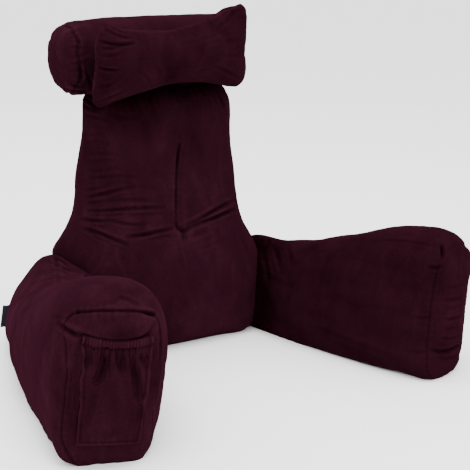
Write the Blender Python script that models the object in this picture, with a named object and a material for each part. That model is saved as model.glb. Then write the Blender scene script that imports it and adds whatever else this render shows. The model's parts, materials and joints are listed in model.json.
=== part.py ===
"""Reading pillow in velvet: a leaning back cushion between two splayed arms, a neck roll on its top,
a bow-shaped head pillow in front of the roll, and a gathered pocket on the end of the left arm.

Metres, +Z up. The sitter faces -Y. While the pieces are drawn, y = 0 is the front bottom edge of the
back cushion and x = 0 is its middle; a parent empty then brings the bottom centre of the whole pillow
to the origin.
"""

from collections import namedtuple
from math import cos, hypot, pi, radians, sin

import bmesh
import bpy
from mathutils import Vector

TOUCH_GAP = 0.0004
FLOOR_SINK = 0.014

PLUM = (0.043, 0.008, 0.019, 1.0)
NAVY = (0.010, 0.014, 0.030, 1.0)
VELVET_ROUGHNESS = 0.85
RIBBON_ROUGHNESS = 0.60

# Back cushion, one row for each height. front and rear are y, half_front and half_rear are half widths,
# power is how square the corners are in plan.
BackRow = namedtuple("BackRow", "height front rear half_front half_rear power")
BACK_ROWS = (
    BackRow(0.000, 0.006, 0.232, 0.190, 0.212, 3.4),
    BackRow(0.010, -0.008, 0.246, 0.205, 0.226, 3.5),
    BackRow(0.050, -0.022, 0.255, 0.211, 0.234, 3.5),
    BackRow(0.120, -0.024, 0.257, 0.204, 0.232, 3.4),
    BackRow(0.180, -0.012, 0.255, 0.188, 0.222, 3.3),
    BackRow(0.230, 0.008, 0.252, 0.170, 0.196, 3.2),
    BackRow(0.290, 0.034, 0.245, 0.165, 0.171, 3.3),
    BackRow(0.350, 0.050, 0.237, 0.165, 0.162, 3.3),
    BackRow(0.410, 0.060, 0.228, 0.161, 0.156, 3.4),
    BackRow(0.460, 0.067, 0.219, 0.159, 0.153, 3.5),
    BackRow(0.492, 0.078, 0.208, 0.154, 0.149, 3.4),
    BackRow(0.512, 0.094, 0.194, 0.142, 0.138, 3.1),
    BackRow(0.523, 0.116, 0.174, 0.113, 0.112, 2.6),
)
BACK_LOW_HEIGHTS = (0.0, 0.004, 0.012, 0.028)
BACK_COARSE_FROM = 0.050
BACK_COARSE_TO = 0.470
BACK_COARSE_STEP = 0.026
BACK_FINE_FROM = 0.170
BACK_FINE_TO = 0.310
BACK_FINE_STEP = 0.0117
BACK_TOP_HEIGHTS = (0.470, 0.485, 0.497, 0.506, 0.513, 0.523)
BACK_CROWN = 0.003
BACK_TOP_SHIFT = 0.005
BACK_FRONT_COLUMNS = 26
BACK_SIDE_COLUMNS = 6
BACK_REAR_COLUMNS = 10
BACK_CROWDING = 1.35

# Front face of the back: a sewn dart and the folds that it pulls. Each runs between two points (x, z),
# is deepest half way and is twice its width from edge to middle.
Fold = namedtuple("Fold", "x0 z0 x1 z1 width depth")
FOLD_END = 0.12
DART = Fold(0.025, 0.392, -0.004, 0.214, 0.0080, 0.0110)
BACK_FOLDS = (
    DART,
    Fold(-0.004, 0.214, -0.004, 0.204, 0.0170, 0.0090),
    Fold(-0.168, 0.262, -0.085, 0.222, 0.0090, 0.0042),
    Fold(-0.090, 0.226, -0.018, 0.240, 0.0090, 0.0040),
    Fold(0.010, 0.226, 0.140, 0.268, 0.0080, 0.0042),
    Fold(0.006, 0.206, 0.140, 0.250, 0.0085, 0.0046),
    Fold(-0.150, 0.300, -0.030, 0.292, 0.0085, 0.0022),
)

# Arms, one row for each distance along the arm from its rear end. inner and outer are half widths,
# waist is the share of the height at which the arm is widest, power is how square its upper part is.
ArmRow = namedtuple("ArmRow", "reach inner outer height waist power")
ARM_ROWS = (
    ArmRow(0.000, 0.044, 0.062, 0.088, 0.36, 1.7),
    ArmRow(0.030, 0.062, 0.092, 0.124, 0.34, 1.55),
    ArmRow(0.100, 0.084, 0.109, 0.155, 0.34, 1.55),
    ArmRow(0.260, 0.097, 0.114, 0.183, 0.40, 2.4),
    ArmRow(0.350, 0.100, 0.113, 0.203, 0.42, 2.5),
    ArmRow(0.430, 0.100, 0.111, 0.234, 0.42, 2.6),
    ArmRow(0.500, 0.097, 0.108, 0.259, 0.42, 2.7),
    ArmRow(0.560, 0.093, 0.105, 0.274, 0.42, 2.8),
    ArmRow(0.600, 0.087, 0.101, 0.277, 0.42, 2.9),
    ArmRow(0.635, 0.079, 0.096, 0.267, 0.42, 3.2),
    ArmRow(0.657, 0.067, 0.088, 0.247, 0.42, 4.2),
)
ARM_SHOULDER_REACH = 0.300
ARM_REAR_Y = 0.240
ARM_STEP = 0.030
ARM_CROWN_FROM = 0.540
ARM_CROWN_STEP = 0.0175
ARM_SEAM_FROM = 0.645
ARM_SEAM_REACH = 0.6495
ARM_SEAM_DEPTH = 0.0050
ARM_BASE_COLUMNS = 7
ARM_SIDE_COLUMNS = 9

# Where each arm starts at the rear, how it splays, how its outer width compares with the table, how
# far its front end leans in x for each metre of height, how far that end is twisted, and how much
# higher its root is plumped.
ArmPose = namedtuple("ArmPose", "name side rear_x splay outer lean twist shoulder")
ARM_LEFT = ArmPose("arm_left", -1, 0.205, radians(13.1), 1.00, 0.14, 0.10, 0.046)
ARM_RIGHT = ArmPose("arm_right", 1, 0.183, radians(14.5), 0.60, 0.07, 0.0, 0.018)
ARM_TWIST_FROM = 0.030
ARM_LEAN_POWER = 1.5
ARM_BASE_POWER = 4.7
ARM_END_BASE_POWER = 3.5
ARM_END_ROUND = 0.003
ARM_END_BULGE = 0.008
ARM_END_SCALES = (1.0, 0.97, 0.91, 0.84, 0.76, 0.62, 0.40, 0.16)
ARM_LENS_HEIGHT = 0.229
ARM_LENS_HALF = 0.026
ARM_LENS_BULGE = 0.009
ARM_LENS_FADE = 3.0
ARM_REAR_BULGE = 0.016
ARM_REAR_SCALES = (0.36, 0.66, 0.87)
PANEL_EDGE_POWER = 3.0

# Neck roll, one row for each distance from its middle: half of it, as the two ends are alike. size is
# the share of the radius and pucker the share of the depth of the gathers.
RollRow = namedtuple("RollRow", "place size pucker")
NECK_ROLL_ROWS = (
    RollRow(0.000, 1.030, 0.0),
    RollRow(0.072, 1.020, 0.0),
    RollRow(0.126, 1.000, 0.2),
    RollRow(0.158, 0.985, 0.8),
    RollRow(0.172, 0.960, 1.0),
    RollRow(0.178, 0.890, 1.0),
    RollRow(0.184, 0.905, 1.0),
    RollRow(0.192, 0.780, 0.7),
    RollRow(0.200, 0.520, 0.4),
)
NECK_ROLL_TIP = 0.204
NECK_ROLL_RADIUS = 0.0715
NECK_ROLL_PLACE = (-0.012, 0.140, 0.583)
NECK_ROLL_TILT = radians(-0.8)
NECK_ROLL_COLUMNS = 36
NECK_ROLL_PUCKERS = 12
NECK_ROLL_PUCKER_DEPTH = 0.0022

HEAD_HALF_LENGTH = 0.166
HEAD_WAIST = 0.056
HEAD_END_LEFT = 0.090
HEAD_END_RIGHT = 0.101
HEAD_THICKNESS = 0.092
HEAD_PLACE = (-0.016, 0.028, 0.586)
HEAD_ROLL = radians(-5.0)
HEAD_NOD = radians(20.0)
HEAD_COLUMNS = 28
HEAD_ROWS = 14
HEAD_FLARE_POWER = 1.6
HEAD_CORNER_PULL = 0.11
HEAD_SIDE_BOW = 0.01
HEAD_CORNER_ROUND = 4.5
HEAD_CROWN_ALONG = (2.6, 0.55)
HEAD_CROWN_UP = (2.2, 0.60)

# Pocket on the end panel of the left arm, in the arm's own directions: across is positive outwards,
# and out is how far its front stands off the panel.
PocketRow = namedtuple("PocketRow", "height sewn front out")
POCKET_ROWS = (
    PocketRow(0.044, 0.0590, 0.0490, 0.0165),
    PocketRow(0.090, 0.0600, 0.0505, 0.0180),
    PocketRow(0.150, 0.0590, 0.0520, 0.0175),
    PocketRow(0.195, 0.0560, 0.0535, 0.0130),
    PocketRow(0.216, 0.0545, 0.0540, 0.0100),
)
POCKET_MIDDLE = 0.015
POCKET_SHEET = 0.0022
POCKET_SEAM_GAP = 0.0003
POCKET_BASE_SLOPE = 0.014
POCKET_ROOTED = 0.006
POCKET_BASE_DOME = 0.0018
POCKET_MOUTH_DOME = 0.0082
POCKET_EDGE_FADE = 3.0
POCKET_MOUTH_DROP = 0.006
POCKET_BAND = 0.013
POCKET_BAND_EXTRA = 0.0009
POCKET_GATHERS = 9
POCKET_GATHERS_FROM = 0.5
POCKET_GATHER_DEPTH = 0.0011
POCKET_COLUMNS = 36
POCKET_LEVELS = (0.0, 0.12, 0.26, 0.40, 0.53, 0.65, 0.76, 0.84)
POCKET_BAND_LEVELS = (1.0, 0.8, 0.2, 0.0)
GUSSET_DROP = 0.005
GUSSET_SIDE_STEPS = 9
GUSSET_BASE_STEPS = 8
POCKET_FOLDS = (
    Fold(0.014, 0.198, 0.026, 0.155, 0.0045, 0.0034),
    Fold(-0.007, 0.200, -0.008, 0.165, 0.0040, 0.0018),
    Fold(-0.026, 0.200, -0.036, 0.120, 0.0045, 0.0028),
    Fold(0.040, 0.200, 0.046, 0.172, 0.0040, 0.0016),
    Fold(-0.039, 0.200, -0.047, 0.176, 0.0040, 0.0016),
)

TAG_HEIGHT = 0.078
TAG_REACH = 0.125
TAG_LENGTH = 0.045
TAG_STAND = 0.015
TAG_ROOTED = 0.020
TAG_SHEET = 0.0018
TAG_FOLD = 0.85
TAG_FOLD_SHEET = 0.35


def hermite(before, start, end, after, share):
    """Value between start and end on a curve through all four, for a share from 0 to 1."""
    slope_in = (end - before) / 2.0
    slope_out = (after - start) / 2.0
    square = share * share
    cube = square * share
    return (
        (2.0 * cube - 3.0 * square + 1.0) * start
        + (cube - 2.0 * square + share) * slope_in
        + (3.0 * square - 2.0 * cube) * end
        + (cube - square) * slope_out
    )


def read_table(rows, where):
    """Row of a table at any value of its first column, on a smooth curve through the rows."""
    last = len(rows) - 1
    index = 0
    while index < last - 1 and rows[index + 1][0] < where:
        index += 1
    start = rows[index]
    end = rows[index + 1]
    share = min(max((where - start[0]) / (end[0] - start[0]), 0.0), 1.0)
    before = rows[max(index - 1, 0)]
    after = rows[min(index + 2, last)]
    step = end[0] - start[0]
    step_before = start[0] - before[0]
    step_after = after[0] - end[0]
    values = [where]
    for name in range(1, len(start)):
        ahead = end[name] - start[name]
        behind = start[name] - before[name]
        beyond = after[name] - end[name]
        before_value = start[name] - (behind * step / step_before if step_before else ahead)
        after_value = end[name] + (beyond * step / step_after if step_after else ahead)
        values.append(hermite(before_value, start[name], end[name], after_value, share))
    return type(start)(*values)


def steps_between(start, end, step):
    """Evenly spaced values from start up to, but without, end."""
    count = max(1, round((end - start) / step))
    return [start + (end - start) * index / count for index in range(count)]


def even_shares(count):
    """Positions along one side of a section, from just after one corner (-1) to the next (1)."""
    return [-1.0 + 2.0 * (index + 1) / count for index in range(count)]


def rounded_square(shares_by_side, power_below, power_above):
    """Points of a square of half width 1 with rounded corners, in order round it.

    The sides are listed as below, right, above and left. Each is a list of positions from -1 to 1.
    """
    points = []
    for side, shares in enumerate(shares_by_side):
        for share in shares:
            if side == 0:
                along = share
                power = power_below
            elif side == 2:
                along = -share
                power = power_above
            else:
                along = share if side == 1 else -share
                power = power_below if along < 0.0 else power_above
            corner = 0.5 ** (1.0 / power)
            near = along * corner
            far = (1.0 - abs(near) ** power) ** (1.0 / power)
            point = ((near, -far), (far, near), (near, far), (-far, near))[side]
            points.append(point)
    return points


def loft(rings, near_tip=None, far_tip=None):
    """Closed mesh through rings of equal point count, each end closed by a fan or by one flat face."""
    shape = bmesh.new()
    loops = [[shape.verts.new(point) for point in ring] for ring in rings]
    count = len(loops[0])
    for lower, upper in zip(loops, loops[1:]):
        for index in range(count):
            after = (index + 1) % count
            shape.faces.new((lower[index], lower[after], upper[after], upper[index]))
    for loop, tip, turned in ((loops[0], near_tip, True), (loops[-1], far_tip, False)):
        if tip is None:
            shape.faces.new(loop[::-1] if turned else loop)
            continue
        centre = shape.verts.new(tip)
        for index in range(count):
            pair = (loop[index], loop[(index + 1) % count])
            shape.faces.new((centre, pair[1], pair[0]) if turned else (centre, pair[0], pair[1]))
    return shape


def velvet_or_ribbon(name, colour, roughness):
    """Material with the colour and roughness of one cloth."""
    material = bpy.data.materials.new(name)
    material.use_nodes = True
    surface = material.node_tree.nodes["Principled BSDF"]
    surface.inputs["Base Color"].default_value = colour
    surface.inputs["Roughness"].default_value = roughness
    surface.inputs["Metallic"].default_value = 0.0
    return material


def make_object(name, shape, parent, colour=PLUM, roughness=VELVET_ROUGHNESS):
    """Object from a bmesh: flat triangles that face out, smooth shading and a material of its own."""
    bmesh.ops.triangulate(shape, faces=shape.faces[:])
    bmesh.ops.recalc_face_normals(shape, faces=shape.faces[:])
    mesh = bpy.data.meshes.new(name)
    shape.to_mesh(mesh)
    shape.free()
    mesh.shade_smooth()
    mesh.materials.append(velvet_or_ribbon(name + "_cloth", colour, roughness))
    thing = bpy.data.objects.new(name, mesh)
    bpy.context.collection.objects.link(thing)
    thing.parent = parent
    return thing


def make_clear_of(piece, neighbour, gap=TOUCH_GAP):
    """Press a piece against its neighbour: what would overlap is cut away, one touching gap clear."""
    grown = neighbour.data.copy()
    normals = [corner.vector.copy() for corner in grown.vertex_normals]
    for point, normal in zip(grown.vertices, normals):
        point.co += normal * gap
    cutter = bpy.data.objects.new(neighbour.name + "_press_" + piece.name, grown)
    bpy.context.collection.objects.link(cutter)
    cutter.parent = neighbour.parent
    cutter.location = neighbour.location
    cutter.rotation_euler = neighbour.rotation_euler
    cutter.hide_render = True
    cutter.display_type = "WIRE"
    cut = piece.modifiers.new("press_" + neighbour.name, "BOOLEAN")
    cut.operation = "DIFFERENCE"
    cut.solver = "EXACT"
    cut.object = cutter


def fold_depth(folds, x, z):
    """How deep the folds of a face are at one of its points."""
    depth = 0.0
    for fold in folds:
        run = Vector((fold.x1 - fold.x0, fold.z1 - fold.z0))
        offset = Vector((x - fold.x0, z - fold.z0))
        share = min(max(offset.dot(run) / run.length_squared, 0.0), 1.0)
        away = (offset - run * share).length / fold.width
        ends = sin(pi * (FOLD_END + (1.0 - 2.0 * FOLD_END) * share))
        depth = max(depth, fold.depth * ends * max(0.0, 1.0 - away * away / 4.0) ** 2)
    return depth


def back_heights():
    """Heights of the rings of the back cushion, closer together where its folds are."""
    heights = list(BACK_LOW_HEIGHTS)
    heights += steps_between(BACK_COARSE_FROM, BACK_FINE_FROM, BACK_COARSE_STEP)
    heights += steps_between(BACK_FINE_FROM, BACK_FINE_TO, BACK_FINE_STEP)
    heights += steps_between(BACK_FINE_TO, BACK_COARSE_TO, BACK_COARSE_STEP)
    return heights + list(BACK_TOP_HEIGHTS)


def front_shares(row):
    """Positions along the front of the back, closest together at its dart, which they follow."""
    share_down = min(max((DART.z0 - row.height) / (DART.z0 - DART.z1), 0.0), 1.0)
    dart = (DART.x0 + (DART.x1 - DART.x0) * share_down) / row.half_front
    count = BACK_FRONT_COLUMNS // 2
    half = [(index / count) ** BACK_CROWDING for index in range(1, count + 1)]
    shares = [-share for share in reversed(half[:-1])] + [0.0] + half
    return [share + dart * (1.0 - share * share) for share in shares]


def back_shift(height):
    """How far the back leans to the right at a height."""
    return BACK_TOP_SHIFT * (height / BACK_ROWS[-1].height) ** 2


def make_back(parent):
    """Filled back cushion: flared at the base, leaning face with a dart, domed top."""
    side = even_shares(BACK_SIDE_COLUMNS)
    rear = even_shares(BACK_REAR_COLUMNS)
    rings = []
    for height in back_heights():
        row = read_table(BACK_ROWS, height)
        shares = (front_shares(row), side, rear, side)
        ring = []
        for across, deep in rounded_square(shares, row.power, row.power):
            share = (deep + 1.0) / 2.0
            half = row.half_front + (row.half_rear - row.half_front) * share
            x = across * half
            y = row.front + (row.rear - row.front) * share
            facing = max(0.0, -deep)
            y += fold_depth(BACK_FOLDS, x, height) * facing
            ring.append((x + back_shift(height), y, height))
        rings.append(ring)
    top = BACK_ROWS[-1]
    crown = (back_shift(top.height), (top.front + top.rear) / 2.0, top.height + BACK_CROWN)
    return make_object("back_cushion", loft(rings, None, crown), parent)


def arm_point(pose, reach, across, height):
    """Point of an arm. across runs outwards from its middle line; lean and twist grow to the front."""
    out = pose.rear_x + reach * sin(pose.splay) + across * cos(pose.splay)
    y = ARM_REAR_Y - reach * cos(pose.splay) + across * sin(pose.splay)
    forward = max(0.0, reach / ARM_ROWS[-1].reach) ** ARM_LEAN_POWER
    height += pose.twist * forward * across * min(1.0, height / ARM_TWIST_FROM)
    return Vector((pose.side * out + pose.lean * forward * height, y, height))


def arm_section(pose, reach, shrink=0.0):
    """Section of an arm as (across, height) points: flat below, straight sides, domed top."""
    row = read_table(ARM_ROWS, reach)
    side = even_shares(ARM_SIDE_COLUMNS)
    shares = (even_shares(ARM_BASE_COLUMNS), side, side, side)
    waist = row.height * row.waist
    plump = pose.shoulder * max(0.0, 1.0 - reach / ARM_SHOULDER_REACH)
    near_end = min(max((reach - ARM_CROWN_FROM) / (ARM_ROWS[-1].reach - ARM_CROWN_FROM), 0.0), 1.0)
    base_power = ARM_BASE_POWER + (ARM_END_BASE_POWER - ARM_BASE_POWER) * near_end
    section = []
    for across, up in rounded_square(shares, base_power, row.power):
        half = row.outer * pose.outer if across > 0.0 else row.inner
        rise = (row.height + plump - waist - shrink) if up > 0.0 else (waist + FLOOR_SINK - shrink)
        section.append((across * (half - shrink), max(0.0, waist + up * rise)))
    return section


def lens_bulge(height, inside):
    """Extra bulge of the front panel where its cloth rolls over the mouth of the pocket."""
    from_lens = abs(height - ARM_LENS_HEIGHT) / ARM_LENS_HALF
    return ARM_LENS_BULGE * max(0.0, 1.0 - from_lens * from_lens) * min(1.0, ARM_LENS_FADE * inside)


def arm_cap(pose, section, reach, bulge, scales, lens=0.0):
    """Rings that close an end of an arm, each smaller and further out than the last, and their tip."""
    middle = sum(height for _, height in section) / len(section)
    rings = []
    for scale in scales:
        inside = 1.0 - scale * scale
        ring = []
        for across, height in section:
            level = middle + (height - middle) * scale
            out = reach + bulge * inside + lens * lens_bulge(level, inside)
            ring.append(arm_point(pose, out, across * scale, level))
        rings.append(ring)
    return rings, arm_point(pose, reach + bulge, 0.0, middle)


def make_arm(pose, parent, lens):
    """Filled arm: low where it leaves the back, rising to a crown behind its flat front panel."""
    end = ARM_ROWS[-1].reach
    stations = steps_between(0.0, ARM_CROWN_FROM, ARM_STEP)
    stations += steps_between(ARM_CROWN_FROM, ARM_SEAM_FROM, ARM_CROWN_STEP)
    shrinks = [(reach, 0.0) for reach in stations]
    shrinks += [(ARM_SEAM_FROM, 0.0), (ARM_SEAM_REACH, ARM_SEAM_DEPTH), (end - ARM_END_ROUND, 0.0)]
    body = []
    for reach, shrink in shrinks:
        section = arm_section(pose, reach, shrink)
        body.append([arm_point(pose, reach, across, height) for across, height in section])
    edge = arm_section(pose, end, ARM_END_ROUND)
    front, front_tip = arm_cap(pose, edge, end, ARM_END_BULGE, ARM_END_SCALES, lens)
    heel = arm_section(pose, 0.0)
    rear, rear_tip = arm_cap(pose, heel, 0.0, -ARM_REAR_BULGE, ARM_REAR_SCALES)
    return make_object(pose.name, loft(rear + body + front, rear_tip, front_tip), parent)


def make_neck_roll(parent):
    """Round bolster with gathered seams round both ends and domed end discs."""
    stations = [(-row.place, row) for row in reversed(NECK_ROLL_ROWS[1:])]
    stations += [(row.place, row) for row in NECK_ROLL_ROWS]
    rings = []
    for x, row in stations:
        ring = []
        for index in range(NECK_ROLL_COLUMNS):
            angle = 2.0 * pi * index / NECK_ROLL_COLUMNS
            pucker = NECK_ROLL_PUCKER_DEPTH * row.pucker * cos(NECK_ROLL_PUCKERS * angle)
            radius = NECK_ROLL_RADIUS * row.size + pucker
            ring.append((x, radius * sin(angle), radius * cos(angle)))
        rings.append(ring)
    tips = ((-NECK_ROLL_TIP, 0.0, 0.0), (NECK_ROLL_TIP, 0.0, 0.0))
    roll = make_object("neck_roll", loft(rings, *tips), parent)
    roll.location = NECK_ROLL_PLACE
    roll.rotation_euler = (0.0, NECK_ROLL_TILT, 0.0)
    return roll


def head_point(along, up, face):
    """Point of the head pillow. along and up run from -1 to 1 and face is -1 in front, 1 behind."""
    end = HEAD_END_LEFT if along < 0.0 else HEAD_END_RIGHT
    half = HEAD_WAIST + (end - HEAD_WAIST) * abs(along) ** HEAD_FLARE_POWER
    corner = 1.0 - HEAD_CORNER_PULL * abs(up * along) ** HEAD_CORNER_ROUND
    bow = 1.0 - HEAD_SIDE_BOW * (1.0 - up * up)
    crown = (1.0 - abs(along) ** HEAD_CROWN_ALONG[0]) ** HEAD_CROWN_ALONG[1]
    crown *= (1.0 - abs(up) ** HEAD_CROWN_UP[0]) ** HEAD_CROWN_UP[1]
    x = along * HEAD_HALF_LENGTH * corner * bow
    return (x, face * HEAD_THICKNESS / 2.0 * crown, up * half * corner)


def sheet_faces(shape, grid, turned):
    """Faces between the points of a grid, turned over if asked."""
    for low, high in zip(grid, grid[1:]):
        for column in range(len(low) - 1):
            corners = (low[column], low[column + 1], high[column + 1], high[column])
            shape.faces.new(corners[::-1] if turned else corners)


def make_head_pillow(parent):
    """Knife-edged pillow: two crowned faces that meet in a seam, waisted, with flared ends."""
    shape = bmesh.new()
    sheets = []
    for face in (-1.0, 1.0):
        grid = []
        for row in range(HEAD_ROWS + 1):
            line = []
            for column in range(HEAD_COLUMNS + 1):
                on_seam = column in (0, HEAD_COLUMNS) or row in (0, HEAD_ROWS)
                if face > 0.0 and on_seam:
                    line.append(sheets[0][row][column])
                    continue
                along = sin((column / HEAD_COLUMNS - 0.5) * pi)
                up = sin((row / HEAD_ROWS - 0.5) * pi)
                line.append(shape.verts.new(head_point(along, up, face)))
            grid.append(line)
        sheets.append(grid)
    sheet_faces(shape, sheets[0], False)
    sheet_faces(shape, sheets[1], True)
    pillow = make_object("head_pillow", shape, parent)
    pillow.location = HEAD_PLACE
    pillow.rotation_euler = (HEAD_NOD, HEAD_ROLL, 0.0)
    return pillow


def panel_point(pose, across, height, out):
    """Point that stands out from the bulged front panel of an arm."""
    row = ARM_ROWS[-1]
    half = row.outer * pose.outer if across > 0.0 else row.inner
    middle = row.height / 2.0
    from_side = abs(across / half) ** PANEL_EDGE_POWER
    from_rim = abs((height - middle) / middle) ** PANEL_EDGE_POWER
    inside = max(0.0, 1.0 - (from_side + from_rim) ** (2.0 / PANEL_EDGE_POWER))
    return arm_point(pose, row.reach + ARM_END_BULGE * inside + out, across, height)


def pocket_border():
    """Stations round the sides and base of the pocket: (sewn, front) points and how far it stands."""
    base = POCKET_ROWS[0]
    top = POCKET_ROWS[-1].height - GUSSET_DROP
    step = (top - base.height) / GUSSET_SIDE_STEPS
    side = [read_table(POCKET_ROWS, base.height + step * (index + 1)) for index in range(GUSSET_SIDE_STEPS)]
    stations = [((-row.sewn, row.height), (-row.front, row.height), row.out) for row in reversed(side)]
    low_sewn = base.height - POCKET_BASE_SLOPE
    for share in [-1.0] + even_shares(GUSSET_BASE_STEPS):
        stations.append(((share * base.sewn, low_sewn), (share * base.front, base.height), base.out))
    stations += [((row.sewn, row.height), (row.front, row.height), row.out) for row in side]
    return stations


def gusset_inward(across, height):
    """Point one sheet inside a point of the gusset's outer face."""
    on_base = height <= POCKET_ROWS[0].height
    narrower = 1.0 - POCKET_SHEET / hypot(across, POCKET_ROWS[0].front)
    return (across * narrower, height + (POCKET_SHEET if on_base else 0.0))


def make_pocket_gusset(pose, parent):
    """Slanted strip round the sides and base of the pocket, rooted in the panel that it is sewn to."""
    rings = []
    for sewn, front, out in pocket_border():
        corners = ((sewn, -POCKET_ROOTED), (front, out), (front, out), (sewn, -POCKET_ROOTED))
        ring = []
        for number, (place, stand) in enumerate(corners):
            across, height = gusset_inward(*place) if number > 1 else place
            ring.append(panel_point(pose, POCKET_MIDDLE + across, height, stand))
        rings.append(ring)
    return make_object("pocket_gusset", loft(rings), parent)


def front_point(pose, share, height, layer):
    """Point of the front of the pocket, share across from -1 to 1; layer is 0 behind and 1 in front."""
    base = POCKET_ROWS[0].height
    top = POCKET_ROWS[-1].height
    row = read_table(POCKET_ROWS, height)
    rise = max(0.0, (height - base) / (top - base))
    across = share * (row.front + POCKET_SHEET / 2.0)
    free = 1.0 - share * share
    fade = min(1.0, POCKET_EDGE_FADE * free)
    on_band = height > top - POCKET_BAND * 0.9
    gather = 1.0 if on_band else max(0.0, (rise - POCKET_GATHERS_FROM) / (1.0 - POCKET_GATHERS_FROM))
    out = row.out + POCKET_SEAM_GAP + POCKET_SHEET * layer
    out += free * (POCKET_BASE_DOME + (POCKET_MOUTH_DOME - POCKET_BASE_DOME) * rise)
    out += POCKET_GATHER_DEPTH * gather * cos(pi * POCKET_GATHERS * share) * fade
    out -= fold_depth(POCKET_FOLDS, across, height) * fade
    if on_band:
        out += POCKET_BAND_EXTRA * layer
    sag = POCKET_MOUTH_DROP * free * rise * rise
    return panel_point(pose, POCKET_MIDDLE + across, height - sag, out)


def make_pocket_front(pose, parent):
    """Front of the pocket: a sheet that bows out, gathered into an elastic hem along its mouth."""
    top = POCKET_ROWS[-1].height
    base = POCKET_ROWS[0].height - POCKET_SHEET / 2.0
    heights = [base + (top - base) * share for share in POCKET_LEVELS]
    heights += [top - POCKET_BAND * share for share in POCKET_BAND_LEVELS]
    shares = [-1.0] + even_shares(POCKET_COLUMNS)
    shape = bmesh.new()
    rims = []
    for layer in (0, 1):
        grid = []
        for height in heights:
            points = [front_point(pose, share, height, layer) for share in shares]
            grid.append([shape.verts.new(point) for point in points])
        sheet_faces(shape, grid, layer == 1)
        inner = grid[1:-1]
        rising = [line[-1] for line in inner]
        falling = [line[0] for line in reversed(inner)]
        rims.append(grid[0] + rising + grid[-1][::-1] + falling)
    rear, front = rims
    for index in range(len(rear)):
        after = (index + 1) % len(rear)
        shape.faces.new((rear[after], rear[index], front[index], front[after]))
    return make_object("pocket_front", shape, parent)


def make_side_tag(pose, parent):
    """Blank folded ribbon that stands out of the outer side of an arm."""
    row = read_table(ARM_ROWS, TAG_REACH)
    side = row.outer * pose.outer
    profile = ((-TAG_ROOTED, 1.0), (TAG_STAND * TAG_FOLD, 1.0), (TAG_STAND, TAG_FOLD_SHEET))
    rings = []
    for share in (-1.0, 1.0):
        height = TAG_HEIGHT + share * TAG_LENGTH / 2.0
        near = [(side + out, TAG_REACH - TAG_SHEET / 2.0 * thick) for out, thick in profile]
        far = [(side + out, TAG_REACH + TAG_SHEET / 2.0 * thick) for out, thick in reversed(profile)]
        rings.append([arm_point(pose, reach, across, height) for across, reach in near + far])
    return make_object("side_tag", loft(rings), parent, NAVY, RIBBON_ROUGHNESS)


def clear_scene():
    """Remove every object that the scene starts with."""
    for thing in list(bpy.data.objects):
        bpy.data.objects.remove(thing, do_unlink=True)


def bring_to_origin(parent):
    """Move the parent so that the bottom centre of everything that it carries is the origin."""
    bpy.context.view_layer.update()
    depsgraph = bpy.context.evaluated_depsgraph_get()
    low = Vector((1e9, 1e9, 1e9))
    high = -low
    for thing in parent.children:
        if thing.hide_render:
            continue
        shown = thing.evaluated_get(depsgraph)
        for corner in shown.data.vertices:
            place = shown.matrix_world @ corner.co
            low = Vector(map(min, low, place))
            high = Vector(map(max, high, place))
    parent.location = (-(low.x + high.x) / 2.0, -(low.y + high.y) / 2.0, 0.0)


def main():
    """Build every piece, press the soft pieces against each other and centre the pillow."""
    clear_scene()
    parent = bpy.data.objects.new("reading_pillow", None)
    bpy.context.collection.objects.link(parent)
    back = make_back(parent)
    arm_left = make_arm(ARM_LEFT, parent, 1.0)
    arm_right = make_arm(ARM_RIGHT, parent, 0.0)
    roll = make_neck_roll(parent)
    head = make_head_pillow(parent)
    gusset = make_pocket_gusset(ARM_LEFT, parent)
    make_pocket_front(ARM_LEFT, parent)
    tag = make_side_tag(ARM_LEFT, parent)
    make_clear_of(gusset, arm_left)
    make_clear_of(tag, arm_left)
    make_clear_of(arm_left, back)
    make_clear_of(arm_right, back)
    make_clear_of(roll, back)
    make_clear_of(head, roll)
    bring_to_origin(parent)


main()
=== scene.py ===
"""Velvet reading pillow: the looks of its stuffed pieces, pocket and tag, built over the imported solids."""

import json
import logging
from dataclasses import dataclass, field
from enum import Enum
from math import cos, pi, radians, sin
from typing import Any, Callable, Sequence

import bpy
import numpy as np
from mathutils import Euler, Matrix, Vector
from mathutils.bvhtree import BVHTree

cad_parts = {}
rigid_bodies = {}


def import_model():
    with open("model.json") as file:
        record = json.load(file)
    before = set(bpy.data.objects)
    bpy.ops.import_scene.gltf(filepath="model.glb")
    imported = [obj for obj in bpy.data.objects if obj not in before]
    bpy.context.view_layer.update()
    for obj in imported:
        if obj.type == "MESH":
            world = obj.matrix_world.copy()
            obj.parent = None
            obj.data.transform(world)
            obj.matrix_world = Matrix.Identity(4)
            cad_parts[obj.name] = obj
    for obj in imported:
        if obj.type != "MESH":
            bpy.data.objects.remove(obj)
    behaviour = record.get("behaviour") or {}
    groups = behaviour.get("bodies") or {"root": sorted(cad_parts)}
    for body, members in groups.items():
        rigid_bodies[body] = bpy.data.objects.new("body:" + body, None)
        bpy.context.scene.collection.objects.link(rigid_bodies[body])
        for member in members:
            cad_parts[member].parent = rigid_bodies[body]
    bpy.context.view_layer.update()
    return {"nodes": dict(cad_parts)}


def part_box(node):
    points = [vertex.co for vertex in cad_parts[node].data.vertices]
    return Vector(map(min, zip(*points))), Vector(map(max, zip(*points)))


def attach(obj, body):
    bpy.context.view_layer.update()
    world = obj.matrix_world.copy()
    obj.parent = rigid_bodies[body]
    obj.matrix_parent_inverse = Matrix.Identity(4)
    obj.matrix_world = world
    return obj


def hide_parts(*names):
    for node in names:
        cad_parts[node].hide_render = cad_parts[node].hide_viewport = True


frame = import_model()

log = logging.getLogger("reading_pillow")
Pixel = tuple[float, float]
Place = tuple[float, float, float]
Colour = tuple[float, float, float, float]
Drag = tuple[Pixel, Pixel, float]
Waves = tuple[tuple[float, float, float], ...]
EVEN: Place = (1.0, 1.0, 1.0)


class Slot(Enum):
    """Material slots of the record."""

    VELVET = "plum_velvet"
    RIBBON = "navy_ribbon"


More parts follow.
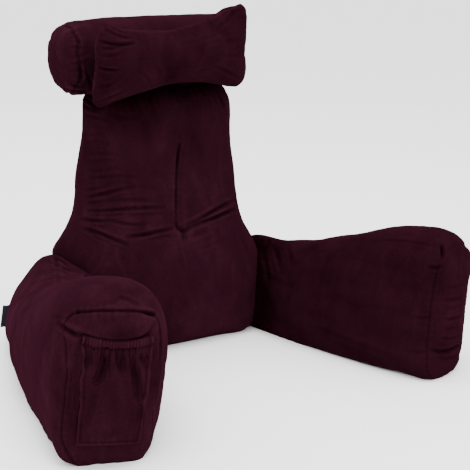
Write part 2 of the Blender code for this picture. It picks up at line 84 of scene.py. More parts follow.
# Materials


class Signal:
    """A shader socket in plain arithmetic: an expression on it adds its Math nodes."""

    def __init__(self, bench: "Bench", socket: bpy.types.NodeSocket) -> None:
        """Wrap a socket.

        Args:
            bench: the material that it is part of.
            socket: the socket.
        """
        self.bench = bench
        self.socket = socket

    def maths(self, operation: str, *values: Any) -> "Signal":
        """Math node on this and other values.

        Args:
            operation: the Math node's operation.
            values: its inputs, as numbers or signals.

        Returns:
            The node's value.
        """
        return self.bench.make("ShaderNodeMath", {"operation": operation}, dict(enumerate(values)))

    def __add__(self, other: Any) -> "Signal":
        """Sum."""
        return self.maths("ADD", self, other)

    def __sub__(self, other: Any) -> "Signal":
        """Difference."""
        return self.maths("SUBTRACT", self, other)

    def __rsub__(self, other: Any) -> "Signal":
        """Difference, from the right."""
        return self.maths("SUBTRACT", other, self)

    def __mul__(self, other: Any) -> "Signal":
        """Product."""
        return self.maths("MULTIPLY", self, other)

    __radd__ = __add__
    __rmul__ = __mul__

    def clamped(self) -> "Signal":
        """This value, kept from 0 to 1."""
        return self.maths("MINIMUM", self.maths("MAXIMUM", self, 0.0), 1.0)

    def ramp(self, low: float, high: float) -> "Signal":
        """This value, spread so that low becomes 0 and high becomes 1, and clamped."""
        return ((self - low) * (1.0 / (high - low))).clamped()


class Bench:
    """One material being made: its Principled shader and the nodes that feed it."""

    def __init__(self, name: str) -> None:
        """Start a material."""
        self.material = bpy.data.materials.new(name)
        self.material.use_nodes = True
        self.tree = self.material.node_tree
        self.surface = self.tree.nodes["Principled BSDF"]

    def make(
        self, kind: str, settings: dict[str, Any], inputs: dict[Any, Any], out: str | int = 0
    ) -> Signal:
        """Make a node.

        Args:
            kind: the node's type.
            settings: attributes, set first.
            inputs: values or signals of its sockets, by name or number.
            out: name or number of the output that is wanted.

        Returns:
            That output.
        """
        node = self.tree.nodes.new(kind)
        for key, value in settings.items():
            setattr(node, key, value)
        for key, value in inputs.items():
            self.feed(node.inputs[key], value)
        return Signal(self, node.outputs[out])

    def feed(self, socket: bpy.types.NodeSocket, value: Any) -> None:
        """Give a socket a signal or a constant.

        Args:
            socket: the input that is fed.
            value: a signal, or a number, colour or vector.
        """
        if isinstance(value, Signal):
            self.tree.links.new(value.socket, socket)
        else:
            socket.default_value = value

    def mix(self, factor: Any, first: Any, second: Any) -> Signal:
        """Colour between two colours."""
        return self.make("ShaderNodeMix", {"data_type": "RGBA"}, {0: factor, 6: first, 7: second}, 2)

    def noise(self, place: Signal, scale: float, detail: float, bend: float = 0.0) -> Signal:
        """Noise over the piece, from 0 to 1."""
        inputs = {"Vector": place, "Scale": scale, "Detail": detail, "Distortion": bend}
        return self.make("ShaderNodeTexNoise", {}, inputs)

    def attribute(self, name: str) -> Signal:
        """Number that the mesh carries at each of its points."""
        return self.make("ShaderNodeAttribute", {"attribute_name": name}, {}, "Fac")

    def stretched(self, place: Signal, scale: Place) -> Signal:
        """Place on the piece, stretched."""
        return self.make("ShaderNodeMapping", {}, {"Vector": place, "Scale": scale})

    def object_place(self) -> Signal:
        """Place on the piece, in metres."""
        return self.make("ShaderNodeTexCoord", {}, {}, "Object")

    def bump(self, height: Signal, distance: float, strength: float, **under: Signal) -> Signal:
        """Normal bent by a height.

        Args:
            height: the height, from 0 to 1.
            distance: how high 1 is, in metres.
            strength: how much of it shows.
            under: another normal that this one lies on, as Normal.

        Returns:
            The normal.
        """
        inputs = {"Height": height, "Distance": distance, "Strength": strength, **under}
        return self.make("ShaderNodeBump", {}, inputs)

    def coat(self, piece: bpy.types.Object, finish: dict[str, Any]) -> None:
        """Feed the shader's sockets, and make this the only material of a piece.

        Args:
            piece: what wears the material.
            finish: values or signals of the shader's sockets, by name.
        """
        for name, value in finish.items():
            self.feed(self.surface.inputs[name], value)
        piece.data.materials.clear()
        piece.data.materials.append(self.material)


@dataclass(frozen=True)
class VelvetFinish:
    """Short-pile velvet, mottled in patches and streaks where its pile lies differently, with a purple sheen
    at grazing angles; its colour also carries painted shade and painted highlight from numbers that each
    piece carries.
    """

    # Darkest to lightest: besides the pile's own mottling, the darkest colour takes painted shade and the
    # lightest painted highlight. The seam colour darkens stitched seams and, as painted shade, the bottoms
    # of deep folds.
    shade: Colour = (0.0032, 0.0004, 0.0010, 1.0)
    body: Colour = (0.0120, 0.0024, 0.0051, 1.0)
    brushed_and_lit: Colour = (0.0265, 0.0057, 0.0112, 1.0)
    seam: Colour = (0.0014, 0.0002, 0.0005, 1.0)
    sheen_tint: Colour = (0.60, 0.12, 0.26, 1.0)
    sheen: float = 0.026
    sheen_roughness: float = 0.40
    roughness: float = 0.96
    brushed_gloss: float = 0.16
    nap_stretch: Place = (1.0, 1.0, 0.42)
    patch_share: float = 0.16
    patch_scale: float = 9.0
    patch_range: tuple[float, float] = (0.36, 0.68)
    streak_share: float = 0.14
    streak_scale: float = 26.0
    streak_range: tuple[float, float] = (0.34, 0.70)
    grain_share: float = 0.30
    grain_scale: float = 234.0
    # Shares of painted shade and highlight: from creases, ridges and edges, and from closeness to
    # neighbours.
    painted_light_share: float = 0.24
    contact_shade_share: float = 0.50
    pile_scale: float = 1500.0
    pile_height: float = 0.00035
    pile_strength: float = 0.55
    crease_scale: float = 60.0
    crease_height: float = 0.0011
    crease_strength: float = 0.5

    def dress(self, piece: bpy.types.Object, nap_and_light_lift: float = 0.0) -> None:
        """Give a piece this velvet.

        Args:
            piece: the piece; its mesh may carry three numbers: painted shade in creases with painted
                highlight on ridges and edges (relief), dark seam lines that also paint shade along deep
                folds (seam), and painted shade near its neighbours.
            nap_and_light_lift: how much lighter the whole piece is, partly for the way its pile lies and
                partly as painted shade and highlight for how light falls on it.
        """
        bench = Bench(piece.name + "_velvet")
        place = bench.object_place()
        along = bench.stretched(place, self.nap_stretch)
        patches = bench.noise(along, self.patch_scale, 4.0, 0.7).ramp(*self.patch_range)
        streaks = bench.noise(along, self.streak_scale, 5.0, 1.4).ramp(*self.streak_range)
        grain = bench.noise(place, self.grain_scale, 3.0)
        nap_and_light = (patches - 0.5) * self.patch_share + (streaks - 0.5) * self.streak_share
        # The relief number adds painted shade in creases and painted highlight on ridges and edges.
        nap_and_light = nap_and_light + (grain - 0.5) * self.grain_share + bench.attribute("relief") * self.painted_light_share
        # Painted shade near neighbours darkens it; the whole piece is shifted partly for its pile and partly
        # as painted light.
        brushing_and_light = (nap_and_light + (0.5 + nap_and_light_lift) - bench.attribute("contact_shade") * self.contact_shade_share).clamped()
        lower = bench.mix((brushing_and_light * 2.0).clamped(), self.shade, self.body)
        cloth = bench.mix((brushing_and_light * 2.0 - 1.0).clamped(), lower, self.brushed_and_lit)
        pile = bench.noise(place, self.pile_scale, 2.0)
        crease = bench.noise(along, self.crease_scale, 4.0, 1.0)
        fine = bench.bump(pile, self.pile_height, self.pile_strength)
        bench.coat(
            piece,
            {
                # Seam lines: stitching, and painted shade along the bottoms of deep folds.
                "Base Color": bench.mix(bench.attribute("seam").clamped(), cloth, self.seam),
                "Roughness": (self.roughness - brushing_and_light * self.brushed_gloss).clamped(),
                "Normal": bench.bump(crease, self.crease_height, self.crease_strength, Normal=fine),
                "Specular IOR Level": 0.0,
                "Sheen Weight": self.sheen,
                "Sheen Roughness": self.sheen_roughness,
                "Sheen Tint": self.sheen_tint,
            },
        )


@dataclass(frozen=True)
class RibbonFinish:
    """Plain woven ribbon."""

    warp: Colour = (0.0050, 0.0052, 0.0095, 1.0)
    weft: Colour = (0.0110, 0.0110, 0.0185, 1.0)
    rib_scale: float = 900.0
    rib_bend: float = 0.6
    rib_height: float = 0.0002
    rib_strength: float = 0.6
    roughness: float = 0.65
    rib_roughness: float = 0.12
    gloss: float = 0.08

    def dress(self, piece: bpy.types.Object) -> None:
        """Give a piece this ribbon.

        Args:
            piece: the piece.
        """
        bench = Bench(piece.name + "_ribbon")
        inputs = {"Vector": bench.object_place(), "Scale": self.rib_scale, "Distortion": self.rib_bend}
        bands = {"wave_type": "BANDS", "bands_direction": "Z"}
        rib = bench.make("ShaderNodeTexWave", bands, inputs, "Fac")
        bench.coat(
            piece,
            {
                "Base Color": bench.mix(rib, self.warp, self.weft),
                "Roughness": rib * self.rib_roughness + self.roughness,
                "Specular IOR Level": self.gloss,
                "Normal": bench.bump(rib, self.rib_height, self.rib_strength),
            },
        )


# Shaping


def choose(piece: bpy.types.Object) -> None:
    """Make a piece the only one selected, and active.

    Args:
        piece: the piece.
    """
    for thing in bpy.context.view_layer.objects:
        thing.select_set(False)
    piece.select_set(True)
    bpy.context.view_layer.objects.active = piece


def settle(piece: bpy.types.Object) -> None:
    """Apply every modifier of a piece, in order."""
    choose(piece)
    for name in [modifier.name for modifier in piece.modifiers]:
        bpy.ops.object.modifier_apply(modifier=name)


def rows_of(values: bpy.types.bpy_prop_collection, name: str) -> np.ndarray:
    """Vectors of a mesh, one row each."""
    flat = np.empty(len(values) * 3, np.float32)
    values.foreach_get(name, flat)
    return flat.reshape(-1, 3).astype(float)


def points_of(piece: bpy.types.Object) -> np.ndarray:
    """Points of a piece's mesh, one row each."""
    return rows_of(piece.data.vertices, "co")


def move_points(piece: bpy.types.Object, points: np.ndarray) -> None:
    """Put the points of a piece's mesh at new places."""
    piece.data.vertices.foreach_set("co", points.astype(np.float32).ravel())
    piece.data.update()


def normals_of(piece: bpy.types.Object) -> np.ndarray:
    """Outward directions at the points of a piece's mesh, one row each."""
    return rows_of(piece.data.vertex_normals, "vector")


def note(piece: bpy.types.Object, name: str, values: np.ndarray) -> None:
    """Leave a number on each point of a piece's mesh.

    Args:
        piece: the piece.
        name: what its material reads it by.
        values: one for each point.
    """
    carried = piece.data.attributes.new(name, "FLOAT", "POINT")
    carried.data.foreach_set("value", values.astype(np.float32))


def search_tree(piece: bpy.types.Object) -> BVHTree:
    """Search tree of a piece's mesh."""
    points = [Vector(point) for point in points_of(piece)]
    return BVHTree.FromPolygons(points, [face.vertices[:] for face in piece.data.polygons])


def declare(piece: bpy.types.Object, node: str) -> None:
    """Hide the solid that a piece stands for, put the piece on the body that it rides on, and report it.

    Args:
        piece: the finished piece.
        node: the solid.
    """
    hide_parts(node)
    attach(piece, "root")
    log.info("%s: %d points", piece.name, len(piece.data.vertices))


def soften_foot(piece: bpy.types.Object, below: float, rounds: int) -> None:
    """Even out the edge where a piece rests on the floor.

    Args:
        piece: the piece.
        below: height under which its points are evened out, most of all near the floor.
        rounds: how many times.
    """
    points = points_of(piece)
    edges = np.empty(len(piece.data.edges) * 2, np.int64)
    piece.data.edges.foreach_get("vertices", edges)
    ends = edges.reshape(-1, 2)
    strength = 0.6
    share = (1.0 - smooth_step(points[:, 2], below * 0.6, below)) * strength
    ends = ends[(share[ends] > 0.0).any(axis=1)]
    count = np.maximum(np.bincount(ends.ravel(), minlength=len(points)), 1)[:, None]
    for _ in range(rounds):
        total = np.zeros_like(points)
        np.add.at(total, ends[:, 0], points[ends[:, 1]])
        np.add.at(total, ends[:, 1], points[ends[:, 0]])
        points += (total / count - points) * share[:, None]
    move_points(piece, points)


def smooth_step(values: np.ndarray, low: float, high: float) -> np.ndarray:
    """Smooth curve from 0 to 1.

    Args:
        values: where it is wanted.
        low: the value up to which it is 0.
        high: the value from which it is 1.

    Returns:
        The curve's heights.
    """
    share = np.clip((values - low) / (high - low), 0.0, 1.0)
    return share * share * (3.0 - 2.0 * share)


def sway(waves: Waves, along: float, facing: float = 1.0) -> float:
    """Sum of some sines, each given by its height, how fast it turns and its shift."""
    return sum(height * sin(along * turns + shift * facing) for height, turns, shift in waves)


def bell(away: np.ndarray | float, width: float, power: float = 2.0) -> np.ndarray:
    """1 at no distance, falling off smoothly over a width."""
    return np.exp(-((away / width) ** power))


def taper(along: np.ndarray, length: float, blunt: float, power: float) -> np.ndarray:
    """Share of a stroke's depth along a line, which fades towards both of its ends.

    Args:
        along: how far along the line, in metres.
        length: the line's length.
        blunt: how little it fades at the very ends.
        power: below 1, it fades later.

    Returns:
        The shares.
    """
    share = np.clip(along / max(length, 1e-6), 0.0, 1.0)
    return np.sin(pi * (blunt + (1.0 - 2.0 * blunt) * share)) ** power


def crumple(points: np.ndarray, scale: float, stretch: Place, seed: int) -> np.ndarray:
    """Field of soft ridges and sharp valleys over some points, from about -1 to 1.

    Args:
        points: where it is wanted.
        scale: ridges to the metre.
        stretch: how much closer together the ridges are along x, y and z.
        seed: which field.

    Returns:
        One value for each point.
    """
    bends, bend_scale, bend_share = 3, 0.55, 0.8
    octaves, finer_share, middle = 3, 0.55, 1.2
    dice = np.random.default_rng(seed)
    places = points * np.array(stretch) * scale
    bend = np.zeros_like(places)
    for _ in range(bends):
        way = dice.normal(size=(3, 3)) * bend_scale
        bend += np.sin(places @ way + dice.uniform(0.0, 2.0 * pi, 3))
    total = np.zeros(len(points))
    share = 1.0
    weight = 0.0
    for octave in range(octaves):
        way = dice.normal(size=3)
        way *= 2.0**octave * pi / np.linalg.norm(way)
        bent = (bend @ dice.normal(size=3)) * bend_share
        wave = np.abs(np.sin(places @ way + bent + dice.uniform(0.0, pi)))
        total += share * (wave * 2.0 - middle)
        weight += share
        share *= finer_share
    return total / weight


class Line:
    """Line through some places, with the distance and the position along it of any other points."""

    def __init__(self, places: Sequence[Sequence[float]]) -> None:
        """Keep the places of the line."""
        self.places = np.array(places, float)

    def measure(self, points: np.ndarray) -> tuple[np.ndarray, np.ndarray, float]:
        """Measure points against the line.

        Args:
            points: one row each.

        Returns:
            The distance of each point, how far along the line its nearest place is, and the line's length.
        """
        away = np.full(len(points), np.inf)
        along = np.zeros(len(points))
        done = 0.0
        for start, end in zip(self.places, self.places[1:]):
            run = end - start
            length = float(np.linalg.norm(run))
            if length < 1e-9:
                continue
            share = np.clip((points - start) @ run / (length * length), 0.0, 1.0)
            distance = np.linalg.norm(points - start - share[:, None] * run, axis=1)
            nearer = distance < away
            away[nearer] = distance[nearer]
            along[nearer] = done + share[nearer] * length
            done += length
        return away, along, done


@dataclass(frozen=True)
class Crease:
    """Fold or seam along a line, in the photograph's frame or as places on the piece."""

    line: tuple[tuple[float, ...], ...]
    width: float
    depth: float
    ridge: float = 0.5
    # Darkness of a line along it: the stitching of a seam, and for deep folds painted shade.
    seam: float = 0.0
    open_ends: bool = False


@dataclass(frozen=True)
class Gathers:
    """Puckers along a seam, square to it, that fade away from it."""

    line: tuple[tuple[float, ...], ...]
    reach: float
    spacing: float
    depth: float


class Relief:
    """Sculpting of one piece: every stroke moves points along their outward directions, and most also paint
    shade into valleys and highlight onto ridges.
    """

    stitch_width = 0.0019
    ridge_away = 2.1
    ridge_width = 0.9
    # How deep a crease is when its painted shade and highlight are full, and their strengths on ridges and
    # in valleys.
    full_painted_light_depth = 0.004
    painted_ridge_highlight = 0.5
    painted_valley_shade = 0.9
    pucker_wander = 0.9
    pucker_weakest = 0.35
    # Painted light and shade that follow the puckers and the wrinkles.
    painted_pucker_light = 0.45
    painted_wrinkle_light = 0.30
    corner_cut = 0.25
    corner_rounds = 3
    held_foot = (0.001, 0.018)
    flat_foot = (-0.001, 0.0035)

    def __init__(self, piece: bpy.types.Object, studio: "Studio") -> None:
        """Start on a piece.

        Args:
            piece: the piece.
            studio: what the photograph's frame is seen from.
        """
        self.piece = piece
        self.points = points_of(piece)
        self.normals = normals_of(piece)
        self.rise = np.zeros(len(self.points))
        self.tone = np.zeros(len(self.points))
        self.seam = np.zeros(len(self.points))
        self.studio = studio
        self.tree = search_tree(piece)
        self.middle = Vector(self.points.mean(axis=0))

    def on_piece(self, place: Sequence[float]) -> Vector:
        """Place on the piece that a pixel of the photograph's frame shows, or nearest to a place."""
        if len(place) == 2:
            return self.studio.place_at(self.tree, place, self.middle)
        return self.tree.find_nearest(Vector(place))[0]

    def line(self, places: Sequence[Sequence[float]]) -> Line:
        """Line on the piece.

        Args:
            places: pixels of the photograph's frame, whose corners are rounded, or places.

        Returns:
            The line.
        """
        corners = np.array(places, float)
        if corners.shape[1] == 2:
            cut = self.corner_cut
            for _ in range(self.corner_rounds):
                first = corners[:-1] * (1.0 - cut) + corners[1:] * cut
                second = corners[:-1] * cut + corners[1:] * (1.0 - cut)
                inner = np.stack((first, second), axis=1).reshape(-1, 2)[1:-1]
                corners = np.vstack((corners[:1], inner, corners[-1:]))
        return Line([self.on_piece(place) for place in corners])

    def near(self, line: Line, reach: float) -> np.ndarray:
        """Choose the points that can be within reach of a line.

        Args:
            line: the line.
            reach: the reach, in metres.

        Returns:
            Their numbers.
        """
        low = line.places.min(axis=0) - reach
        high = line.places.max(axis=0) + reach
        return np.nonzero(np.all((self.points > low) & (self.points < high), axis=1))[0]

    def press(self, crease: Crease) -> None:
        """Press a fold or seam in, with a soft ridge on each side, painted shade in its valley and painted
        highlight on its ridges.

        Args:
            crease: the fold or seam.
        """
        line = self.line(crease.line)
        chosen = self.near(line, crease.width * 5.0)
        if not len(chosen):
            return
        away, along, length = line.measure(self.points[chosen])
        ends = 1.0 if crease.open_ends else taper(along, length, 0.06, 0.7)
        valley = bell(away, crease.width)
        ridge = np.exp(-((away / crease.width - self.ridge_away) ** 2) / self.ridge_width)
        self.rise[chosen] += crease.depth * ends * (crease.ridge * ridge - valley)
        strength = min(crease.depth / self.full_painted_light_depth, 1.0)
        self.tone[chosen] += strength * ends * (self.painted_ridge_highlight * ridge - self.painted_valley_shade * valley)
        # Dark line along it: the stitching of a seam, and painted shade along the bottom of a deep fold.
        stitches = crease.seam * ends * bell(away, self.stitch_width)
        self.seam[chosen] = np.maximum(self.seam[chosen], stitches)

    def pucker(self, gathers: Gathers, seed: int) -> None:
        """Gather the cloth along a seam, each pucker a little uneven, with painted shade and highlight that
        follow the puckers.

        Args:
            gathers: the puckers.
            seed: which unevenness.
        """
        line = self.line(gathers.line)
        chosen = self.near(line, gathers.reach * 3.0)
        if not len(chosen):
            return
        away, along, length = line.measure(self.points[chosen])
        dice = np.random.default_rng(seed)
        knots = max(3, int(length / gathers.spacing))
        shifts = dice.normal(0.0, self.pucker_wander, knots)
        wander = np.interp(along, np.linspace(0.0, length, knots), shifts)
        strengths = dice.uniform(self.pucker_weakest, 1.0, knots)
        strong = np.interp(along, np.linspace(0.0, length, knots), strengths)
        wave = np.cos(2.0 * pi * along / gathers.spacing + wander)
        fade = np.exp(-away / gathers.reach) * smooth_step(away, -0.001, 0.003)
        amount = wave * strong * fade * taper(along, length, 0.04, 0.5)
        self.rise[chosen] += gathers.depth * amount
        self.tone[chosen] += self.painted_pucker_light * amount

    def wrinkle(
        self,
        depth: float,
        scale: float,
        seed: int,
        where: np.ndarray | float = 1.0,
        stretch: Place = EVEN,
    ) -> None:
        """Wrinkle the cloth, with painted shade and highlight that follow the wrinkles.

        Args:
            depth: half the height of the wrinkles.
            scale: wrinkles to the metre.
            seed: which wrinkles.
            where: mask of the points, or 1 for all over.
            stretch: how much closer together they are along x, y and z.
        """
        amount = crumple(self.points, scale, stretch, seed) * where
        self.rise += depth * amount
        self.tone += self.painted_wrinkle_light * amount

    def ball(self, place: Sequence[float], radius: float) -> np.ndarray:
        """Mask that is 1 at a place, or at a pixel of the photograph's frame, and 0 a radius away."""
        away = np.linalg.norm(self.points - np.array(self.on_piece(place)), axis=1)
        return 1.0 - smooth_step(away, radius * 0.25, radius)

    def swell(self, place: Sequence[float], radius: float, height: float) -> None:
        """Raise a soft bulge, or with a negative height press a dimple."""
        self.rise += height * self.ball(place, radius)

    def drag(self, drags: Sequence[Drag]) -> None:
        """Pull the filling outwards or inwards.

        Args:
            drags: for each pull, the pixels that it leads from and to, and its reach in metres.
        """
        for start, end, reach in drags:
            place = self.on_piece(start)
            away = np.linalg.norm(self.points - np.array(place), axis=1)
            self.points += bell(away, reach)[:, None] * self.studio.across(place, start, end)

    def settle_down(self) -> None:
        """Start again on the piece as it is now, once its filling has been pulled."""
        move_points(self.piece, self.points)
        self.tree = search_tree(self.piece)
        self.normals = normals_of(self.piece)

    def finish(self) -> None:
        """Move the points, with the underside kept flat, and leave the painted shade and highlight (as
        relief) and the seam lines on the mesh.
        """
        held = smooth_step(self.points[:, 2], *self.held_foot)
        moved = self.points + self.normals * (self.rise * held)[:, None]
        moved[:, 2] = np.maximum(moved[:, 2], 0.0) * smooth_step(self.points[:, 2], *self.flat_foot)
        move_points(self.piece, moved)
        # relief: painted shade and painted highlight, read by the material.
        note(self.piece, "relief", np.clip(self.tone, -1.0, 1.0))
        note(self.piece, "seam", self.seam)


# Camera and light


@dataclass
class Studio:
    """Pale floor, soft light, and the camera where the photograph was taken from."""

    place: Place = (-0.9309, -1.6961, 0.786)
    yaw: float = radians(30.5)
    pitch: float = radians(15.4)
    focal_pixels: float = 1037.0
    frame_pixels: float = 470.0
    sensor_mm: float = 36.0
    nearest_tries: int = 4
    floor_size: float = 30.0
    floor_paint: Colour = (0.93, 0.93, 0.93, 1.0)
    floor_roughness: float = 0.9
    sky: Colour = (1.0, 1.0, 1.0, 1.0)
    sky_strength: float = 2.4
    lit: Place = (0.0, 0.0, 0.25)
    lamps: tuple[tuple[str, Place, float, float], ...] = (
        ("key_light", (-2.0, -2.8, 2.8), 2.4, 20.0),
        ("fill_light", (0.4, -3.0, 1.9), 2.4, 60.0),
        ("top_light", (-0.3, -0.2, 3.2), 2.4, 104.0),
        ("rear_light", (-1.8, 2.6, 2.2), 2.0, 20.0),
    )
    trees: dict[str, BVHTree] = field(default_factory=dict)

    def turn(self) -> Euler:
        """Turn of the camera."""
        return Euler((pi / 2.0 - self.pitch, 0.0, -self.yaw))

    def tree(self, node: str) -> BVHTree:
        """Search tree of a solid of the frame."""
        if node not in self.trees:
            self.trees[node] = search_tree(frame["nodes"][node])
        return self.trees[node]

    def place_at(self, tree: BVHTree, pixel: Sequence[float], near: Vector) -> Vector:
        """Place on a piece that a pixel of the photograph's frame shows.

        Args:
            tree: search tree of the piece.
            pixel: right and down from the frame's top left corner.
            near: any place in the piece.

        Returns:
            Where the line of sight meets the piece, or the piece's nearest point where it misses.
        """
        middle = self.frame_pixels / 2.0
        sight = Vector((pixel[0] - middle, middle - pixel[1], -self.focal_pixels)).normalized()
        sight.rotate(self.turn())
        eye = Vector(self.place)
        found = tree.ray_cast(eye, sight)[0]
        if found is not None:
            return found
        reach = (near - eye).length
        for _ in range(self.nearest_tries):
            found = tree.find_nearest(eye + sight * reach)[0]
            reach = (found - eye).dot(sight)
        return found

    def across(self, place: Vector, start: Pixel, end: Pixel) -> np.ndarray:
        """Move that takes a place from one pixel to another at its own distance from the camera.

        Args:
            place: the place.
            start: pixel that the move leads from.
            end: pixel that it leads to.

        Returns:
            The move.
        """
        ahead = Vector((0.0, 0.0, -1.0))
        ahead.rotate(self.turn())
        move = Vector((end[0] - start[0], start[1] - end[1], 0.0))
        move.rotate(self.turn())
        return np.array(move * ((place - Vector(self.place)).dot(ahead) / self.focal_pixels))

    def build(self) -> None:
        """Make the camera, the lights and the floor."""
        bpy.ops.object.camera_add(location=self.place, rotation=self.turn())
        camera = bpy.context.object
        camera.name = "camera"
        camera.data.sensor_width = self.sensor_mm
        camera.data.lens = self.focal_pixels / self.frame_pixels * self.sensor_mm
        bpy.context.scene.camera = camera
        for name, place, size, power in self.lamps:
            self.lamp(name, place, size, power)
        world = bpy.data.worlds.new("studio")
        bpy.context.scene.world = world
        world.use_nodes = True
        background = world.node_tree.nodes["Background"]
        background.inputs["Color"].default_value = self.sky
        background.inputs["Strength"].default_value = self.sky_strength
        bpy.ops.mesh.primitive_plane_add(size=self.floor_size)
        floor = bpy.context.object
        floor.name = "floor"
        paint = {"Base Color": self.floor_paint, "Roughness": self.floor_roughness}
        Bench("floor_paint").coat(floor, paint)

    def lamp(self, name: str, place: Place, size: float, power: float) -> None:
        """Add a soft lamp that points at the pillow.

        Args:
            name: its name.
            place: where it hangs.
            size: its diameter.
            power: its power, in watts.
        """
        bpy.ops.object.light_add(type="AREA", location=place)
        lamp = bpy.context.object
        lamp.name = name
        lamp.data.shape = "DISK"
        lamp.data.size = size
        lamp.data.energy = power
        aim = Vector(self.lit) - Vector(place)
        lamp.rotation_euler = aim.to_track_quat("-Z", "Y").to_euler()


# Stuffed pieces


@dataclass(frozen=True)
class ArmEnd:
    """End of an arm, measured across it, up it and out of its end panel."""

    side: float
    rear_x: float
    splay: float
    lean: float
    twist: float
    outer: float
    inner: float = 0.067
    reach: float = 0.657
    height: float = 0.247
    bulge: float = 0.008
    edge_power: float = 3.0
    twist_from: float = 0.030
    lean_power: float = 1.5
    rear_y: float = 0.240
    shift: tuple[float, float] = (0.0111, 0.0879)
    seam_reach: float = 0.6495
    seam_inner: float = 0.0680
    seam_outer: float = 0.0877
    seam_height: float = 0.2510
    seam_waist: float = 0.107
    seam_powers: tuple[float, float] = (3.6, 3.9)
    seam_steps: int = 96

    def place(self, reach: float, across: float, height: float) -> Place:
        """Place of a point of the arm.

        Args:
            reach: distance along the arm from its rear end.
            across: distance outwards from its middle line.
            height: height in the arm before its end is twisted.

        Returns:
            The place.
        """
        out = self.rear_x + reach * sin(self.splay) + across * cos(self.splay)
        y = self.rear_y - reach * cos(self.splay) + across * sin(self.splay)
        forward = max(0.0, reach / self.reach) ** self.lean_power
        height += self.twist * forward * across * min(1.0, height / self.twist_from)
        return (self.side * out + self.lean * forward * height + self.shift[0], y + self.shift[1], height)

    def on_panel(self, across: float, height: float, out: float) -> Place:
        """Place that stands out from the crowned end panel.

        Args:
            across: distance outwards from the arm's middle line.
            height: height on the panel.
            out: distance from the panel.

        Returns:
            The place.
        """
        half = self.outer if across > 0.0 else self.inner
        middle = self.height / 2.0
        edge = abs(across / half) ** self.edge_power + abs((height - middle) / middle) ** self.edge_power
        inside = max(0.0, 1.0 - edge ** (2.0 / self.edge_power))
        return self.place(self.reach + self.bulge * inside + out, across, height)

    def seam(self, low: float = 0.0, high: float = 1.0) -> tuple[Place, ...]:
        """Places along the seam that joins the end panel to the arm.

        Args:
            low: lowest place, in metres.
            high: highest place, in metres.

        Returns:
            The places, round the foot of the panel if it is all of the seam below high.
        """
        ring = []
        for index in range(self.seam_steps + 1):
            turn = 2.0 * pi * index / self.seam_steps
            over, up = sin(turn), cos(turn)
            power = self.seam_powers[1] if up > 0.0 else self.seam_powers[0]
            far = (abs(over) ** power + abs(up) ** power) ** (1.0 / power)
            half = self.seam_outer if over > 0.0 else self.seam_inner
            rise = self.seam_height - self.seam_waist if up > 0.0 else self.seam_waist
            across = over / far * half
            ring.append(self.place(self.seam_reach, across, self.seam_waist + up / far * rise))
        return tuple(place for place in ring if low <= place[2] <= high)


LEFT_END = ArmEnd(-1.0, 0.205, radians(13.1), 0.14, 0.10, 0.088, seam_outer=0.0830)
RIGHT_END = ArmEnd(1.0, 0.183, radians(14.5), 0.07, 0.0, 0.0528, seam_outer=0.0526)


